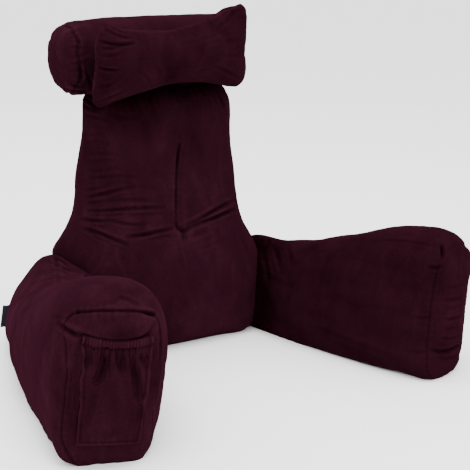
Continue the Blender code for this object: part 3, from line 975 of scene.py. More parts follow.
@dataclass
class Stuffed:
    """Stuffed piece: a solid of the frame, remeshed, puffed as cloth over its filling, then sculpted.

    Its cover is slack by a share of its length, and puffs up no further than cap. Where it would lie
    in a neighbour, down to deepest, it is moved to clearance outside. Painted shade darkens it within
    reach of a neighbour that it faces, where shade falls between the pieces, and each piece's whole
    colour is shifted, partly for the way its pile lies and partly as painted light and shade.
    """

    cloth = {
        "quality": 4,
        "mass": 0.25,
        "tension_stiffness": 12.0,
        "compression_stiffness": 12.0,
        "shear_stiffness": 4.0,
        "bending_stiffness": 0.35,
        "use_pressure": True,
    }
    frames = 20
    foot = 0.022
    foot_rounds = 6
    contact_shade_power = 1.5
    welded = 0.00005
    shrink_foot = (0.001, 0.010)
    puff_foot = (0.001, 0.012)
    way_out = Vector((0.31, 0.17, 0.93)).normalized()
    past_surface = 0.00001
    most_crossings = 9

    node: str
    name: str
    studio: Studio
    neighbours: tuple[str, ...] = ()
    voxel: float = 0.0055
    pressure: float = 4.0
    slack: float = 0.020
    cap: float = 0.0035
    shrink: float = 0.0010
    fill: float = 0.7
    clearance: float = 0.0006
    deepest: float = 0.012
    turned_away: float = 0.7
    creases: tuple[Crease, ...] = ()
    gathers: tuple[Gathers, ...] = ()
    drags: tuple[Drag, ...] = ()
    # Reach of the painted shade near neighbours, and the shift of the whole colour, partly painted light.
    contact_shade_reach: float = 0.016
    nap_and_light_lift: float = 0.0

    def build(self) -> bpy.types.Object:
        """Make the piece.

        Returns:
            The piece, dressed and declared.
        """
        piece = self.remeshed()
        self.puff(piece)
        piece.modifiers.new("round", "SUBSURF").levels = 1
        settle(piece)
        soften_foot(piece, self.foot, self.foot_rounds)
        relief = Relief(piece, self.studio)
        relief.drag(self.drags)
        relief.settle_down()
        for crease in self.creases:
            relief.press(crease)
        for seed, gathers in enumerate(self.gathers, start=11):
            relief.pucker(gathers, seed)
        self.sculpt(relief)
        relief.finish()
        self.clear_neighbours(piece)
        piece.data.shade_smooth()
        VelvetFinish().dress(piece, self.nap_and_light_lift)
        declare(piece, self.node)
        return piece

    def remeshed(self) -> bpy.types.Object:
        """Copy the solid with even faces and an edge slightly inside it.

        Returns:
            The copy.
        """
        piece = frame["nodes"][self.node].copy()
        piece.data = piece.data.copy()
        piece.name = self.name
        piece.parent = None
        for key in list(piece.keys()):
            del piece[key]
        bpy.context.scene.collection.objects.link(piece)
        choose(piece)
        bpy.ops.object.mode_set(mode="EDIT")
        bpy.ops.mesh.select_all(action="SELECT")
        bpy.ops.mesh.remove_doubles(threshold=self.welded)
        bpy.ops.object.mode_set(mode="OBJECT")
        remesh = piece.modifiers.new("weave", "REMESH")
        remesh.mode = "VOXEL"
        remesh.voxel_size = self.voxel
        settle(piece)
        points = points_of(piece)
        lifted = smooth_step(points[:, 2], *self.shrink_foot)[:, None]
        move_points(piece, points - normals_of(piece) * self.shrink * lifted)
        return piece

    def puff(self, piece: bpy.types.Object) -> None:
        """Let the cover hang as slack cloth over its filling, and keep where it comes to rest.

        Args:
            piece: the remeshed piece.
        """
        start = points_of(piece)
        cloth = piece.modifiers.new("filling", "CLOTH")
        for name, value in self.cloth.items():
            setattr(cloth.settings, name, value)
        cloth.settings.uniform_pressure_force = self.pressure
        cloth.settings.shrink_min = -self.slack
        cloth.settings.effector_weights.gravity = 0.0
        cloth.collision_settings.use_collision = False
        cloth.point_cache.frame_start = 1
        cloth.point_cache.frame_end = self.frames
        scene = bpy.context.scene
        for number in range(1, self.frames + 1):
            scene.frame_set(number)
        shown = piece.evaluated_get(bpy.context.evaluated_depsgraph_get())
        moved = points_of(shown) - start
        piece.modifiers.remove(cloth)
        scene.frame_set(1)
        length = np.linalg.norm(moved, axis=1)
        kept = np.minimum(1.0, self.cap / np.maximum(length, 1e-9))
        held = smooth_step(start[:, 2], *self.puff_foot)
        move_points(piece, start + moved * (kept * held)[:, None])

    def sculpt(self, relief: Relief) -> None:
        """Strokes that a piece adds to its creases and gathers."""

    def clear_neighbours(self, piece: bpy.types.Object) -> None:
        """Move what would lie in a neighbour out of it, and note painted shade where it is close to a
        neighbour that it faces.

        Args:
            piece: the sculpted piece.
        """
        points = points_of(piece)
        outward = normals_of(piece)
        contact_shade = np.zeros(len(points))
        reach = self.contact_shade_reach
        for node in self.neighbours:
            tree = self.studio.tree(node)
            low, high = (np.array(corner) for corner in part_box(node))
            by_it = np.all((points > low - reach) & (points < high + reach), axis=1)
            for number in np.nonzero(by_it)[0]:
                place = Vector(points[number])
                found, normal, _, apart = tree.find_nearest(place, reach)
                if found is None:
                    continue
                if apart < self.deepest and self.lies_in(tree, place):
                    apart = -apart
                if apart < self.clearance:
                    points[number] = np.array(found + normal * self.clearance)
                towards = 1.0 - normal.dot(Vector(outward[number])) / self.turned_away
                close = (1.0 - min(max(0.0, apart), reach) / reach) ** self.contact_shade_power
                contact_shade[number] = max(contact_shade[number], close * min(max(0.0, towards), 1.0))
        move_points(piece, points)
        # Painted shade where it lies close to a neighbour, where shade falls between the pieces.
        note(piece, "contact_shade", np.clip(contact_shade, 0.0, 1.0))

    def lies_in(self, tree: BVHTree, place: Vector) -> bool:
        """Count how often a line out of a place crosses a closed piece.

        Args:
            tree: search tree of the closed piece.
            place: the place.

        Returns:
            Whether the place lies in it.
        """
        crossings = 0
        found = tree.ray_cast(place, self.way_out)[0]
        while found is not None and crossings < self.most_crossings:
            crossings += 1
            found = tree.ray_cast(found + self.way_out * self.past_surface, self.way_out)[0]
        return crossings % 2 == 1


@dataclass
class BackCushion(Stuffed):
    """Leaning back with its dart, lumbar bulge and the folds that the dart pulls."""

    # Wide reach, so that painted shade spreads under the neck roll and head pillow.
    contact_shade_reach: float = 0.085
    creases: tuple[Crease, ...] = (
        Crease(
            ((179.3, 144), (177.6, 160), (176.8, 190), (176.4, 212), (176.6, 229)),
            0.0032, 0.0036, 0.14, 0.45,
        ),
        Crease(((180, 146), (178.5, 170), (178.5, 200), (179, 222)), 0.0085, 0.0018, 0.05),
        Crease(((180.2, 144), (178.8, 156), (178.0, 170)), 0.0028, 0.0044, 0.10, 0.9),
        Crease(((176, 224), (178, 229), (183, 231), (189, 229)), 0.0040, 0.0062, 0.2, 0.6),
        Crease(((183, 230), (184, 235), (183, 240)), 0.0062, 0.0050, 0.2, 0.5),
        Crease(((179, 227), (196, 221), (214, 211), (235, 199)), 0.0036, 0.0048, 0.6, 0.45),
        Crease(((182, 229), (198, 224), (216, 217), (235, 209)), 0.0036, 0.0056, 0.6, 0.6),
        Crease(((186, 238), (202, 233), (218, 228)), 0.0040, 0.0014),
        Crease(((84, 229), (98, 233), (112, 239), (128, 245)), 0.0034, 0.0048, 0.6, 0.35),
        Crease(((88, 232), (100, 239), (112, 243)), 0.0030, 0.0022, 0.6),
        Crease(((126, 237), (142, 235.5), (157, 232), (172, 229)), 0.0034, 0.0044, 0.6, 0.35),
        Crease(((82, 219.5), (96, 221), (108, 221)), 0.0030, 0.0034, 0.6, 0.25),
        Crease(((108, 220), (122, 224), (136, 225), (152, 223)), 0.0030, 0.0026, 0.6),
        Crease(((88, 211), (104, 211.5), (124, 209), (146, 208), (166, 207)), 0.0030, 0.0036, 0.6, 0.2),
        Crease(((92, 216), (108, 215), (126, 214)), 0.0028, 0.0018, 0.6),
        Crease(((130, 216), (146, 214), (162, 214)), 0.0028, 0.0016, 0.6),
        Crease(((87, 198), (102, 194.5), (118, 190), (136, 187)), 0.0032, 0.0034, 0.6),
        Crease(((90, 203), (110, 201), (134, 200), (156, 201)), 0.0028, 0.0020, 0.6),
        Crease(((84, 191), (98, 189), (112, 184)), 0.0028, 0.0016, 0.6),
        Crease(((86, 180), (104, 177), (122, 176), (140, 178)), 0.0028, 0.0016, 0.6),
        Crease(((86, 171), (102, 171), (120, 167)), 0.0028, 0.0014, 0.6),
        Crease(((87, 163), (104, 160), (118, 161)), 0.0028, 0.0014, 0.6),
        Crease(((88, 154), (104, 153.5), (120, 155)), 0.0028, 0.0014, 0.6),
        Crease(((86, 143), (98, 142), (110, 144)), 0.0028, 0.0012, 0.6),
        Crease(((86, 134), (96, 135), (106, 133)), 0.0028, 0.0012, 0.6),
        Crease(((150, 240), (164, 236), (176, 236)), 0.0030, 0.0016, 0.6),
        Crease(((214, 90), (221, 99), (226, 112)), 0.0040, 0.0028, 0.4),
        Crease(((208, 88), (214, 96), (218, 106)), 0.0034, 0.0020, 0.4),
        Crease(((84, 97), (89, 101), (95, 107), (102, 109)), 0.0036, 0.0052, 0.6, 0.5),
        Crease(((84, 105), (90, 108), (98, 112)), 0.0034, 0.0044, 0.6, 0.4),
        Crease(((88, 94), (92, 98), (97, 101)), 0.0030, 0.0034, 0.6, 0.3),
        Crease(((86, 115), (96, 117), (108, 121)), 0.0034, 0.0018),
        Crease(((108, 113), (122, 118), (138, 118)), 0.0040, 0.0018),
    )
    gathers: tuple[Gathers, ...] = (
        Gathers(((84, 104), (120, 112), (160, 98), (214, 90)), 0.012, 0.015, 0.0010),
        Gathers(((226, 96), (229, 140), (233, 190)), 0.010, 0.016, 0.0007),
        Gathers(((177, 150), (176.5, 190), (176.5, 226)), 0.008, 0.011, 0.0007),
    )
    drags: tuple[Drag, ...] = (
        ((80, 180), (75, 180), 0.080),
        ((87, 101), (84, 100), 0.024),
        ((226, 108), (228.5, 107), 0.060),
        ((232, 172), (234, 172), 0.060),
        ((242, 321), (244, 327), 0.034),
        ((68, 236), (63, 236), 0.040),
        ((60, 254), (53, 252), 0.030),
    )

    def sculpt(self, relief: Relief) -> None:
        """Fine wrinkles across the left of the waist, a quiet unevenness all over, painted shadow under the
        head pillow, and a painted highlight low on the lumbar bulge.

        Args:
            relief: the sculpting of this piece.
        """
        relief.wrinkle(0.0011, 34.0, 3, relief.ball((118, 208), 0.125), (0.30, 0.30, 1.8))
        relief.wrinkle(0.0009, 34.0, 8, relief.ball((205, 225), 0.09), (0.6, 0.6, 1.4))
        relief.wrinkle(0.0008, 11.0, 5)
        relief.swell((205, 300), 0.17, 0.004)
        relief.wrinkle(0.0020, 60.0, 6, relief.ball((88, 102), 0.035))
        # Painted shadow of the head pillow, under its right end and under its middle.
        relief.tone -= 0.40 * relief.ball((207, 135), 0.12)
        relief.tone -= 0.85 * relief.ball((136, 112), 0.085)
        # Painted highlight low on the lumbar bulge, where the floor darkens it.
        relief.tone += 0.70 * relief.ball((208, 326), 0.12)


@dataclass
class LeftArm(Stuffed):
    """Left arm: crown, end panel with its seam, and the roll of cloth over the pocket's mouth."""

    # Its whole colour a little lighter, partly for the way its pile lies and partly as painted light;
    # painted shade reaches a little way from the back.
    nap_and_light_lift: float = 0.03
    contact_shade_reach: float = 0.030
    creases: tuple[Crease, ...] = (
        Crease(((67, 368), (66, 350), (65, 338), (64, 330)), 0.0026, 0.0015, 0.5, 0.4),
        Crease(((64, 330), (66, 320), (72, 314), (80, 311.8)), 0.0030, 0.0030, 0.5, 0.5),
        Crease(
            ((76, 312.2), (100, 311), (125, 311), (145, 312), (155, 314)),
            0.0024, 0.0026, 0.3, 0.85, True,
        ),
        Crease(((143, 312), (149, 314), (156, 315.5)), 0.0032, 0.0048, 0.4, 0.6),
        Crease(
            ((152, 312), (158, 319), (160.5, 330), (160.5, 348), (159.5, 368)),
            0.0024, 0.0018, 0.5, 0.6,
        ),
        Crease(((114, 301), (121, 297), (130, 300), (138, 305)), 0.0036, 0.0026),
        Crease(((98, 305), (108, 302), (116, 304)), 0.0036, 0.0012),
        Crease(((58, 323), (66, 329), (76, 336)), 0.0036, 0.0050, 0.5, 0.4),
        Crease(((52, 316), (60, 318), (68, 322)), 0.0036, 0.0016),
        Crease(
            ((70, 331), (78, 335), (97, 341), (119, 343), (138, 340), (149, 334), (154, 325)),
            0.0036, 0.0066,
        ),
        Crease(((70, 257), (78, 265), (88, 275)), 0.0040, 0.0040, 0.5, 0.3),
        Crease(((52, 254), (62, 262), (74, 270), (87, 276)), 0.0036, 0.0030),
        Crease(((48, 262), (60, 266), (72, 272)), 0.0034, 0.0022),
        Crease(((50, 270), (60, 271), (72, 276)), 0.0034, 0.0018),
        Crease(((44, 276), (56, 276), (68, 279)), 0.0034, 0.0014),
        Crease(((30, 285), (46, 279), (62, 278)), 0.0050, 0.0012),
    )
    gathers: tuple[Gathers, ...] = (
        Gathers(((66, 320), (73, 313), (100, 311), (125, 311), (152, 312)), 0.009, 0.011, 0.0008),
    )
    drags: tuple[Drag, ...] = (
        ((48, 260), (45, 256), 0.040),
        ((27, 284), (32, 289), 0.050),
        ((16, 355), (11, 356), 0.070),
        ((34, 410), (31, 411), 0.060),
        ((67, 450), (61, 453), 0.030),
        ((158, 416), (155, 416), 0.045),
        ((128, 457), (130, 463), 0.034),
    )

    def sculpt(self, relief: Relief) -> None:
        """Seam of the end panel, crumpled root and crown, painted shade on the inner side beside the pocket,
        and a quiet unevenness all over.

        Args:
            relief: the sculpting of this piece.
        """
        relief.press(Crease(LEFT_END.seam(high=0.165), 0.0024, 0.0014, 0.5, 0.45, True))
        relief.pucker(Gathers(LEFT_END.seam(high=0.165), 0.008, 0.013, 0.0005), 61)
        # Painted shade on the inner side, beside the pocket.
        relief.tone -= 0.60 * relief.ball((157, 370), 0.075)
        relief.swell((104, 326), 0.040, 0.0040)
        relief.swell((130, 326), 0.040, 0.0045)
        relief.wrinkle(0.0014, 26.0, 13, relief.ball((66, 266), 0.085), (1.2, 0.6, 0.8))
        relief.wrinkle(0.0010, 30.0, 14, relief.ball((120, 302), 0.07), (0.8, 0.8, 1.2))
        relief.wrinkle(0.0009, 11.0, 15)


@dataclass
class RightArm(Stuffed):
    """Right arm: low at the back, rising to its crown, with the seam of its end panel in view."""

    # Its whole colour darker, partly for the way its pile lies and partly as painted shade on its inner
    # face; painted shade reaches far from the back.
    nap_and_light_lift: float = -0.12
    contact_shade_reach: float = 0.135
    creases: tuple[Crease, ...] = (
        Crease(((441.5, 245), (442.5, 250), (442, 256)), 0.0034, 0.0070, 0.3, 1.0),
        Crease(((428, 267), (436, 268), (443, 266)), 0.0030, 0.0030, 0.4, 0.2),
        Crease(((380, 240), (400, 240.5), (420, 243), (440, 247)), 0.0026, 0.0012, 0.5, 0.25),
        Crease(((430, 350), (440, 352), (451, 350), (461, 344)), 0.0032, 0.0052, 0.5, 0.2),
        Crease(((440, 358), (448, 359), (456, 356)), 0.0030, 0.0022),
        Crease(((444, 300), (452, 300), (462, 297)), 0.0030, 0.0026),
        Crease(((444, 308), (452, 308), (460, 306)), 0.0028, 0.0016),
        Crease(((443, 319), (452, 319), (462, 315)), 0.0030, 0.0030),
        Crease(((443, 328), (451, 329), (460, 326)), 0.0028, 0.0018),
        Crease(((442, 338), (451, 339), (460, 335)), 0.0030, 0.0026),
        Crease(((446, 287), (454, 287), (462, 285)), 0.0030, 0.0014),
        Crease(((410, 352), (420, 352), (428, 350)), 0.0032, 0.0020),
        Crease(((412, 317), (422, 318), (431, 317)), 0.0032, 0.0014),
        Crease(((262, 247), (266, 262), (270, 285)), 0.0050, 0.0030),
        Crease(((274, 246), (278, 258), (281, 272)), 0.0045, 0.0024),
        Crease(((287, 245), (290, 254), (292, 265)), 0.0045, 0.0020),
        Crease(((258, 268), (272, 280), (290, 286)), 0.0050, 0.0012),
        Crease(((300, 322), (340, 336), (380, 352), (415, 366)), 0.0050, 0.0012),
    )
    gathers: tuple[Gathers, ...] = (
        Gathers(((254, 243), (270, 241), (300, 242), (330, 241)), 0.018, 0.015, 0.0012),
        Gathers(((255, 250), (256, 290), (258, 326)), 0.016, 0.017, 0.0009),
    )
    drags: tuple[Drag, ...] = (
        ((256, 242), (254, 237), 0.040),
        ((295, 245), (295, 242), 0.050),
        ((332, 243), (332, 237.5), 0.070),
        ((385, 231), (385, 229.5), 0.070),
        ((456, 246), (457, 243), 0.030),
        ((462, 268), (460.5, 268), 0.030),
        ((425, 370), (425, 373), 0.035),
        ((446, 366), (448, 369), 0.030),
    )

    def sculpt(self, relief: Relief) -> None:
        """Seam and wrinkles of the end panel, wrinkles at the root, and a quiet unevenness all over.

        Args:
            relief: the sculpting of this piece.
        """
        relief.press(Crease(RIGHT_END.seam(high=0.222), 0.0020, 0.0011, 0.6, 0.22, True))
        relief.press(Crease(RIGHT_END.seam(low=0.218), 0.0022, 0.0006, 0.5, 0.15, True))
        relief.pucker(Gathers(RIGHT_END.seam(high=0.222), 0.009, 0.013, 0.0006), 62)
        relief.wrinkle(0.0012, 28.0, 23, relief.ball((275, 262), 0.09), (1.3, 1.3, 0.5))
        relief.wrinkle(0.0010, 34.0, 24, relief.ball((452, 322), 0.06), (0.5, 0.5, 1.6))
        relief.wrinkle(0.0009, 11.0, 25)


@dataclass
class NeckRoll(Stuffed):
    """Round bolster: gathered seams round both ends and domed end discs."""

    voxel: float = 0.0045
    cap: float = 0.0025
    seam_from_middle: float = 0.178
    seam_radius: float = 0.066
    seam_steps: int = 48
    seam_waves: Waves = ((0.0022, 5.0, 1.0), (0.0016, 11.0, 0.0))
    tilt: float = radians(0.8)
    drags: tuple[Drag, ...] = (
        ((54, 62), (53, 62), 0.050),
        ((72, 88), (73, 91), 0.030),
        ((62, 32), (63.5, 33.5), 0.040),
        ((60, 84), (62, 83), 0.030),
        ((110, 22), (110, 21), 0.060),
    )
    creases: tuple[Crease, ...] = (
        Crease(((64, 88), (71, 91), (79, 90.5), (88, 93)), 0.0034, 0.0044, 0.6, 0.5),
        Crease(((70, 84), (77, 87), (85, 87)), 0.0030, 0.0034, 0.6, 0.3),
        Crease(((79, 66), (82, 74), (80, 82)), 0.0030, 0.0034, 0.6, 0.3),
        Crease(((76, 36), (80, 44), (79, 52)), 0.0030, 0.0024, 0.6),
        Crease(((70, 30), (73, 36), (71, 42)), 0.0034, 0.0016, 0.6),
        Crease(((86, 72), (90, 80), (92, 88)), 0.0030, 0.0030, 0.6, 0.2),
    )

    def ring(self, side: float) -> tuple[Place, ...]:
        """Places round a seam.

        Args:
            side: -1 for the left end and 1 for the right one.

        Returns:
            The places, the first one again at the end.
        """
        low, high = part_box(self.node)
        middle = (low + high) / 2.0
        x = middle.x + side * self.seam_from_middle
        z = middle.z + side * self.seam_from_middle * sin(self.tilt)
        ring = []
        for index in range(self.seam_steps + 1):
            turn = 2.0 * pi * index / self.seam_steps
            over, up = self.seam_radius * sin(turn), self.seam_radius * cos(turn)
            ring.append((x + sway(self.seam_waves, turn, side), middle.y + over, z + up))
        return tuple(ring)

    def sculpt(self, relief: Relief) -> None:
        """Seams, their gathers on tube and disc, and crumpled discs.

        Args:
            relief: the sculpting of this piece.
        """
        for side in (-1.0, 1.0):
            ring = self.ring(side)
            relief.press(Crease(ring, 0.0030, 0.0016, 0.35, 0.30, True))
            relief.pucker(Gathers(ring, 0.014, 0.0135, 0.0015), 40)
            relief.pucker(Gathers(ring, 0.008, 0.0090, 0.0010), 41)
        low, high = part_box(self.node)
        from_end = np.minimum(relief.points[:, 0] - low.x, high.x - relief.points[:, 0])
        ends = 1.0 - smooth_step(from_end, 0.02, 0.05)
        relief.wrinkle(0.0022, 24.0, 43, ends, (0.6, 1.0, 1.0))
        relief.wrinkle(0.0008, 14.0, 44)


@dataclass
class HeadPillow(Stuffed):
    """Knife-edged head pillow: a seam all round, waisted, with folds that fan from its ends."""

    edge_half: float = 0.012
    edge_steps: int = 72
    edge_sweep: float = 0.06
    edge_width: float = 0.0026
    # Painted highlight along the edge seam; the whole colour is made darker, partly for the way its pile
    # lies and partly as painted shade.
    rim_highlight: float = 1.6
    nap_and_light_lift: float = -0.09
    voxel: float = 0.0036
    cap: float = 0.0025
    shrink: float = 0.0005
    slack: float = 0.03
    creases: tuple[Crease, ...] = (
        Crease(((101, 41), (110, 44), (122, 45), (134, 43)), 0.0028, 0.0046, 0.5, 0.4),
        Crease(((102, 48), (112, 48.5), (122, 46.5)), 0.0026, 0.0028),
        Crease(((105, 30), (112, 33), (122, 37), (132, 39)), 0.0030, 0.0026),
        Crease(((110, 27), (118, 31), (128, 34)), 0.0028, 0.0022),
        Crease(((100, 56), (110, 56), (120, 54)), 0.0028, 0.0020),
        Crease(((99, 68), (108, 70), (118, 70.5)), 0.0026, 0.0038, 0.5, 0.3),
        Crease(((98, 88), (108, 86), (118, 82)), 0.0030, 0.0018),
        Crease(((101, 102), (112, 97), (126, 91)), 0.0030, 0.0028),
        Crease(((236, 10), (228, 20), (216, 30)), 0.0034, 0.0018),
        Crease(((240, 80), (228, 72), (214, 66)), 0.0034, 0.0020),
        Crease(((241, 40), (230, 42), (218, 42)), 0.0034, 0.0010),
        Crease(((241, 56), (230, 56), (220, 54)), 0.0034, 0.0010),
        Crease(((155, 66), (160, 72), (158, 80)), 0.0030, 0.0016),
        Crease(((142, 74), (148, 78), (150, 84)), 0.0030, 0.0014),
    )
    drags: tuple[Drag, ...] = (
        ((238, 16), (234, 15), 0.030),
        ((240, 38), (237.5, 38), 0.036),
        ((233, 78), (239, 82), 0.036),
        ((101, 34), (103, 28), 0.026),
        ((104, 100), (100, 104), 0.022),
        ((97, 66), (100, 66), 0.030),
        ((226, 14), (225, 10), 0.022),
    )

    def rim(self) -> tuple[Place, ...]:
        """Find the seam along the edge of the solid as it is seen square on.

        Returns:
            Places round the seam.
        """
        mesh = frame["nodes"][self.node].data
        points = np.array([point.co for point in mesh.vertices])
        middle = points.mean(axis=0)
        _, _, ways = np.linalg.svd(points - middle, full_matrices=False)
        flat = (points - middle) @ ways.T
        turns = np.arctan2(flat[:, 1], flat[:, 0])
        knife_edge = np.abs(flat[:, 2]) < self.edge_half
        rim = []
        for index in range(self.edge_steps + 1):
            turn = -pi + 2.0 * pi * index / self.edge_steps
            aside = np.abs((turns - turn + pi) % (2.0 * pi) - pi)
            sweep = (aside < self.edge_sweep) & knife_edge
            if sweep.any():
                distance = np.linalg.norm(flat[:, :2], axis=1) * sweep
                rim.append(tuple(points[int(distance.argmax())]))
        return tuple(rim + rim[:1])

    def sculpt(self, relief: Relief) -> None:
        """Seam round the edge with its puckers, a painted highlight along the edge, and a quiet unevenness.

        Args:
            relief: the sculpting of this piece.
        """
        rim = self.rim()
        relief.pucker(Gathers(rim, 0.010, 0.016, 0.0006), 50)
        away, _, _ = Line(rim).measure(relief.points)
        # Painted highlight along the edge seam.
        relief.tone += self.rim_highlight * bell(away, self.edge_width)
        relief.wrinkle(0.0009, 15.0, 54)


# Pocket and tag


def cloth_grid(
    name: str, columns: int, rows: int, place: Callable[[float, float], Place]
) -> tuple[bpy.types.Object, np.ndarray]:
    """Sheet made from a grid whose points are put in place.

    Args:
        name: the piece's name.
        columns: faces along the first direction.
        rows: faces along the second direction.
        place: place of a point, from its two positions from 0 to 1.

    Returns:
        The sheet, with its front towards positive normals, and the two positions of each of its points.
    """
    bpy.ops.mesh.primitive_grid_add(x_subdivisions=columns, y_subdivisions=rows, size=1.0)
    piece = bpy.context.object
    piece.name = name
    spots = points_of(piece)
    move_points(piece, np.array([place(spot[0] + 0.5, spot[1] + 0.5) for spot in spots]))
    return piece, spots[:, :2] + 0.5


def give_thickness(piece: bpy.types.Object, sheet: float) -> None:
    """Turn a single layer into a sheet of real thickness that grows from its back.

    Args:
        piece: the layer.
        sheet: its thickness.
    """
    solid = piece.modifiers.new("sheet", "SOLIDIFY")
    solid.thickness = sheet
    solid.offset = -1.0
    settle(piece)
    piece.data.shade_smooth()


@dataclass
class Pocket:
    """Pocket on the left arm's end panel: a slanted gusset and a front gathered into its hem."""

    studio: Studio
    end: ArmEnd = LEFT_END
    middle: float = 0.015
    sheet: float = 0.0022
    heights: tuple[float, ...] = (0.044, 0.090, 0.150, 0.195, 0.216)
    sewn: tuple[float, ...] = (0.0590, 0.0600, 0.0590, 0.0560, 0.0545)
    front: tuple[float, ...] = (0.0490, 0.0505, 0.0520, 0.0535, 0.0540)
    stand: tuple[float, ...] = (0.0165, 0.0180, 0.0175, 0.0130, 0.0100)
    base_slope: float = 0.014
    base_round: float = 0.012
    base_inset: float = 0.004
    base_dome: float = 0.0018
    mouth_dome: float = 0.0082
    mouth_drop: float = 0.006
    gusset_top: float = 0.005
    gusset_sunk: float = 0.0015
    gusset_bow: tuple[float, float] = (0.0009, 0.0007)
    gusset_depth: float = 0.05
    band: float = 0.013
    band_proud: float = 0.0010
    band_gathers: int = 23
    # Painted light and shade on the hem's gathers.
    painted_band_light: float = 0.65
    stitches: tuple[float, float] = (0.94, 0.10)
    stitch_depth: float = 0.0009
    stitch_width: float = 0.0010
    gather_depth: float = 0.0013
    gather_reach: float = 0.020
    fine_below: float = 0.45
    slow_below: float = 0.75
    ruffle_depth: float = 0.0016
    ruffle_from: tuple[float, float] = (0.060, 0.120)
    ruffle_across: Waves = ((0.6, 92.0, 1.3), (0.4, 231.0, -0.8))
    ruffle_out: Waves = ((0.6, 118.0, 0.6), (0.5, 265.0, 2.1))
    gather_wander: Waves = ((0.9, 7.0, 0.0), (0.5, 17.0, 1.0))
    hem_shade: float = 0.9
    edge_light: float = 0.7
    edge_width: float = 0.0022
    seam_in: float = 0.0055
    seam_shade: float = 0.5
    seam_strength: float = 0.28
    gusset_shade: float = 0.5
    creases: tuple[Crease, ...] = (
        Crease(((106, 351), (104.5, 362), (101, 374), (96, 381)), 0.0026, 0.0060, 0.9, 0.6),
        Crease(((96, 381), (100, 379), (104, 374)), 0.0026, 0.0030, 0.6, 0.2),
        Crease(((98, 384), (94, 398), (90, 412), (86, 424)), 0.0045, 0.0030, 0.9),
        Crease(((119.5, 351), (120, 361), (121, 372)), 0.0024, 0.0036, 0.8, 0.4),
        Crease(((132, 351), (134, 365), (136, 380), (139, 402)), 0.0026, 0.0044, 0.9, 0.5),
        Crease(((140.5, 351), (143, 358), (147, 366)), 0.0024, 0.0030, 0.8, 0.3),
        Crease(((90, 350), (88, 360), (83, 370)), 0.0024, 0.0024, 0.8, 0.3),
        Crease(((112, 352), (112, 362), (111, 376)), 0.0022, 0.0018, 0.7),
        Crease(((126, 352), (127, 362), (128, 374)), 0.0022, 0.0020, 0.7),
        Crease(((98, 350), (97, 358), (94, 366)), 0.0022, 0.0018, 0.7),
        Crease(((84, 352), (81, 361), (77, 366)), 0.0022, 0.0020, 0.7),
        Crease(((76, 390), (80, 395), (84, 398)), 0.0028, 0.0020, 0.6),
        Crease(((137, 400), (134, 414), (130, 428)), 0.0034, 0.0020, 0.7),
        Crease(((142, 404), (140, 416), (137, 424)), 0.0026, 0.0026, 0.7),
        Crease(((86, 436), (104, 433), (124, 431)), 0.0060, 0.0012, 0.4),
    )

    def read(self, values: Sequence[float], height: float) -> float:
        """One of the tables at a height, on a smooth curve."""
        return float(np.polyval(np.polyfit(self.heights, values, len(values) - 1), height))

    def ruffle(self, height: float, facing: float) -> tuple[float, float]:
        """Wander of the front's gathered edge.

        Args:
            height: height on the panel.
            facing: -1 for the left side and 1 for the right one.

        Returns:
            How far it wanders across and out.
        """
        depth = self.ruffle_depth * smooth_step(np.array([height]), *self.ruffle_from)[0]
        across = sway(self.ruffle_across, height, facing)
        return across * depth, sway(self.ruffle_out, height, facing) * depth

    def wave(self, share: float) -> tuple[float, float]:
        """Gathers of the hem.

        Args:
            share: share of the hem's half width, from -1 to 1.

        Returns:
            The fine gathers and the slow ones.
        """
        wander = sway(self.gather_wander, share)
        turn = pi * self.band_gathers * share
        return cos(turn + wander), cos(turn * 0.5 + wander * 0.7 + 0.6)

    def front_place(self, over: float, up: float) -> Place:
        """Place on the front of the pocket.

        Args:
            over: position across it, from 0 to 1.
            up: position up it, from 0 to 1.

        Returns:
            The place.
        """
        base, top = self.heights[0], self.heights[-1]
        height = base - self.sheet / 2.0 + (top - base + self.sheet / 2.0) * up
        share = over * 2.0 - 1.0
        free = 1.0 - share * share
        below = top - height
        wave, slow = self.wave(share)
        if below >= self.band:
            faded = float(np.exp(-(below - self.band) / self.gather_reach))
            wave = faded * (self.fine_below * wave + self.slow_below * slow)
        across, out = self.ruffle(height, -1.0 if share < 0.0 else 1.0)
        near_edge = abs(share) ** 5
        across = across * near_edge + share * (self.read(self.front, height) + self.sheet / 2.0)
        out = out * near_edge + self.read(self.stand, height) + self.sheet
        out += free * (self.base_dome + (self.mouth_dome - self.base_dome) * up)
        out += self.gather_depth * wave * min(1.0, 3.0 * free)
        out += self.band_proud * float(bell(below - self.band * 0.5, self.band * 0.42, 4))
        for stitched in self.stitches:
            out -= self.stitch_depth * float(bell(below - self.band * stitched, 0.0009))
        sag = self.mouth_drop * free * up * up
        return self.end.on_panel(self.middle + across, height - sag, out)

    def border(self, along: float) -> tuple[tuple[float, float], tuple[float, float], float]:
        """Sections of the gusset.

        Args:
            along: position from 0 to 1 down one side, along the base and up the other side.

        Returns:
            Where it is sewn down and where it meets the front, across and up, and how far that stands out.
        """
        base, top = self.heights[0], self.heights[-1] - self.gusset_top
        side, bottom = top - base, self.front[0] * 2.0
        travel = along * (side * 2.0 + bottom)
        if side < travel < side + bottom:
            share = (travel - side) / bottom * 2.0 - 1.0
            sewn = (share * self.sewn[0], base - self.base_slope)
            return sewn, (share * self.front[0], base), self.stand[0]
        height = top - travel if travel <= side else base + travel - side - bottom
        facing = -1.0 if travel <= side else 1.0
        low = max(0.0, 1.0 - (height - base) / self.base_round)
        sewn = (facing * self.read(self.sewn, height), height - self.base_slope * low)
        across, out = self.ruffle(height, facing)
        front = (facing * self.read(self.front, height) + across, height)
        return sewn, front, self.read(self.stand, height) + out

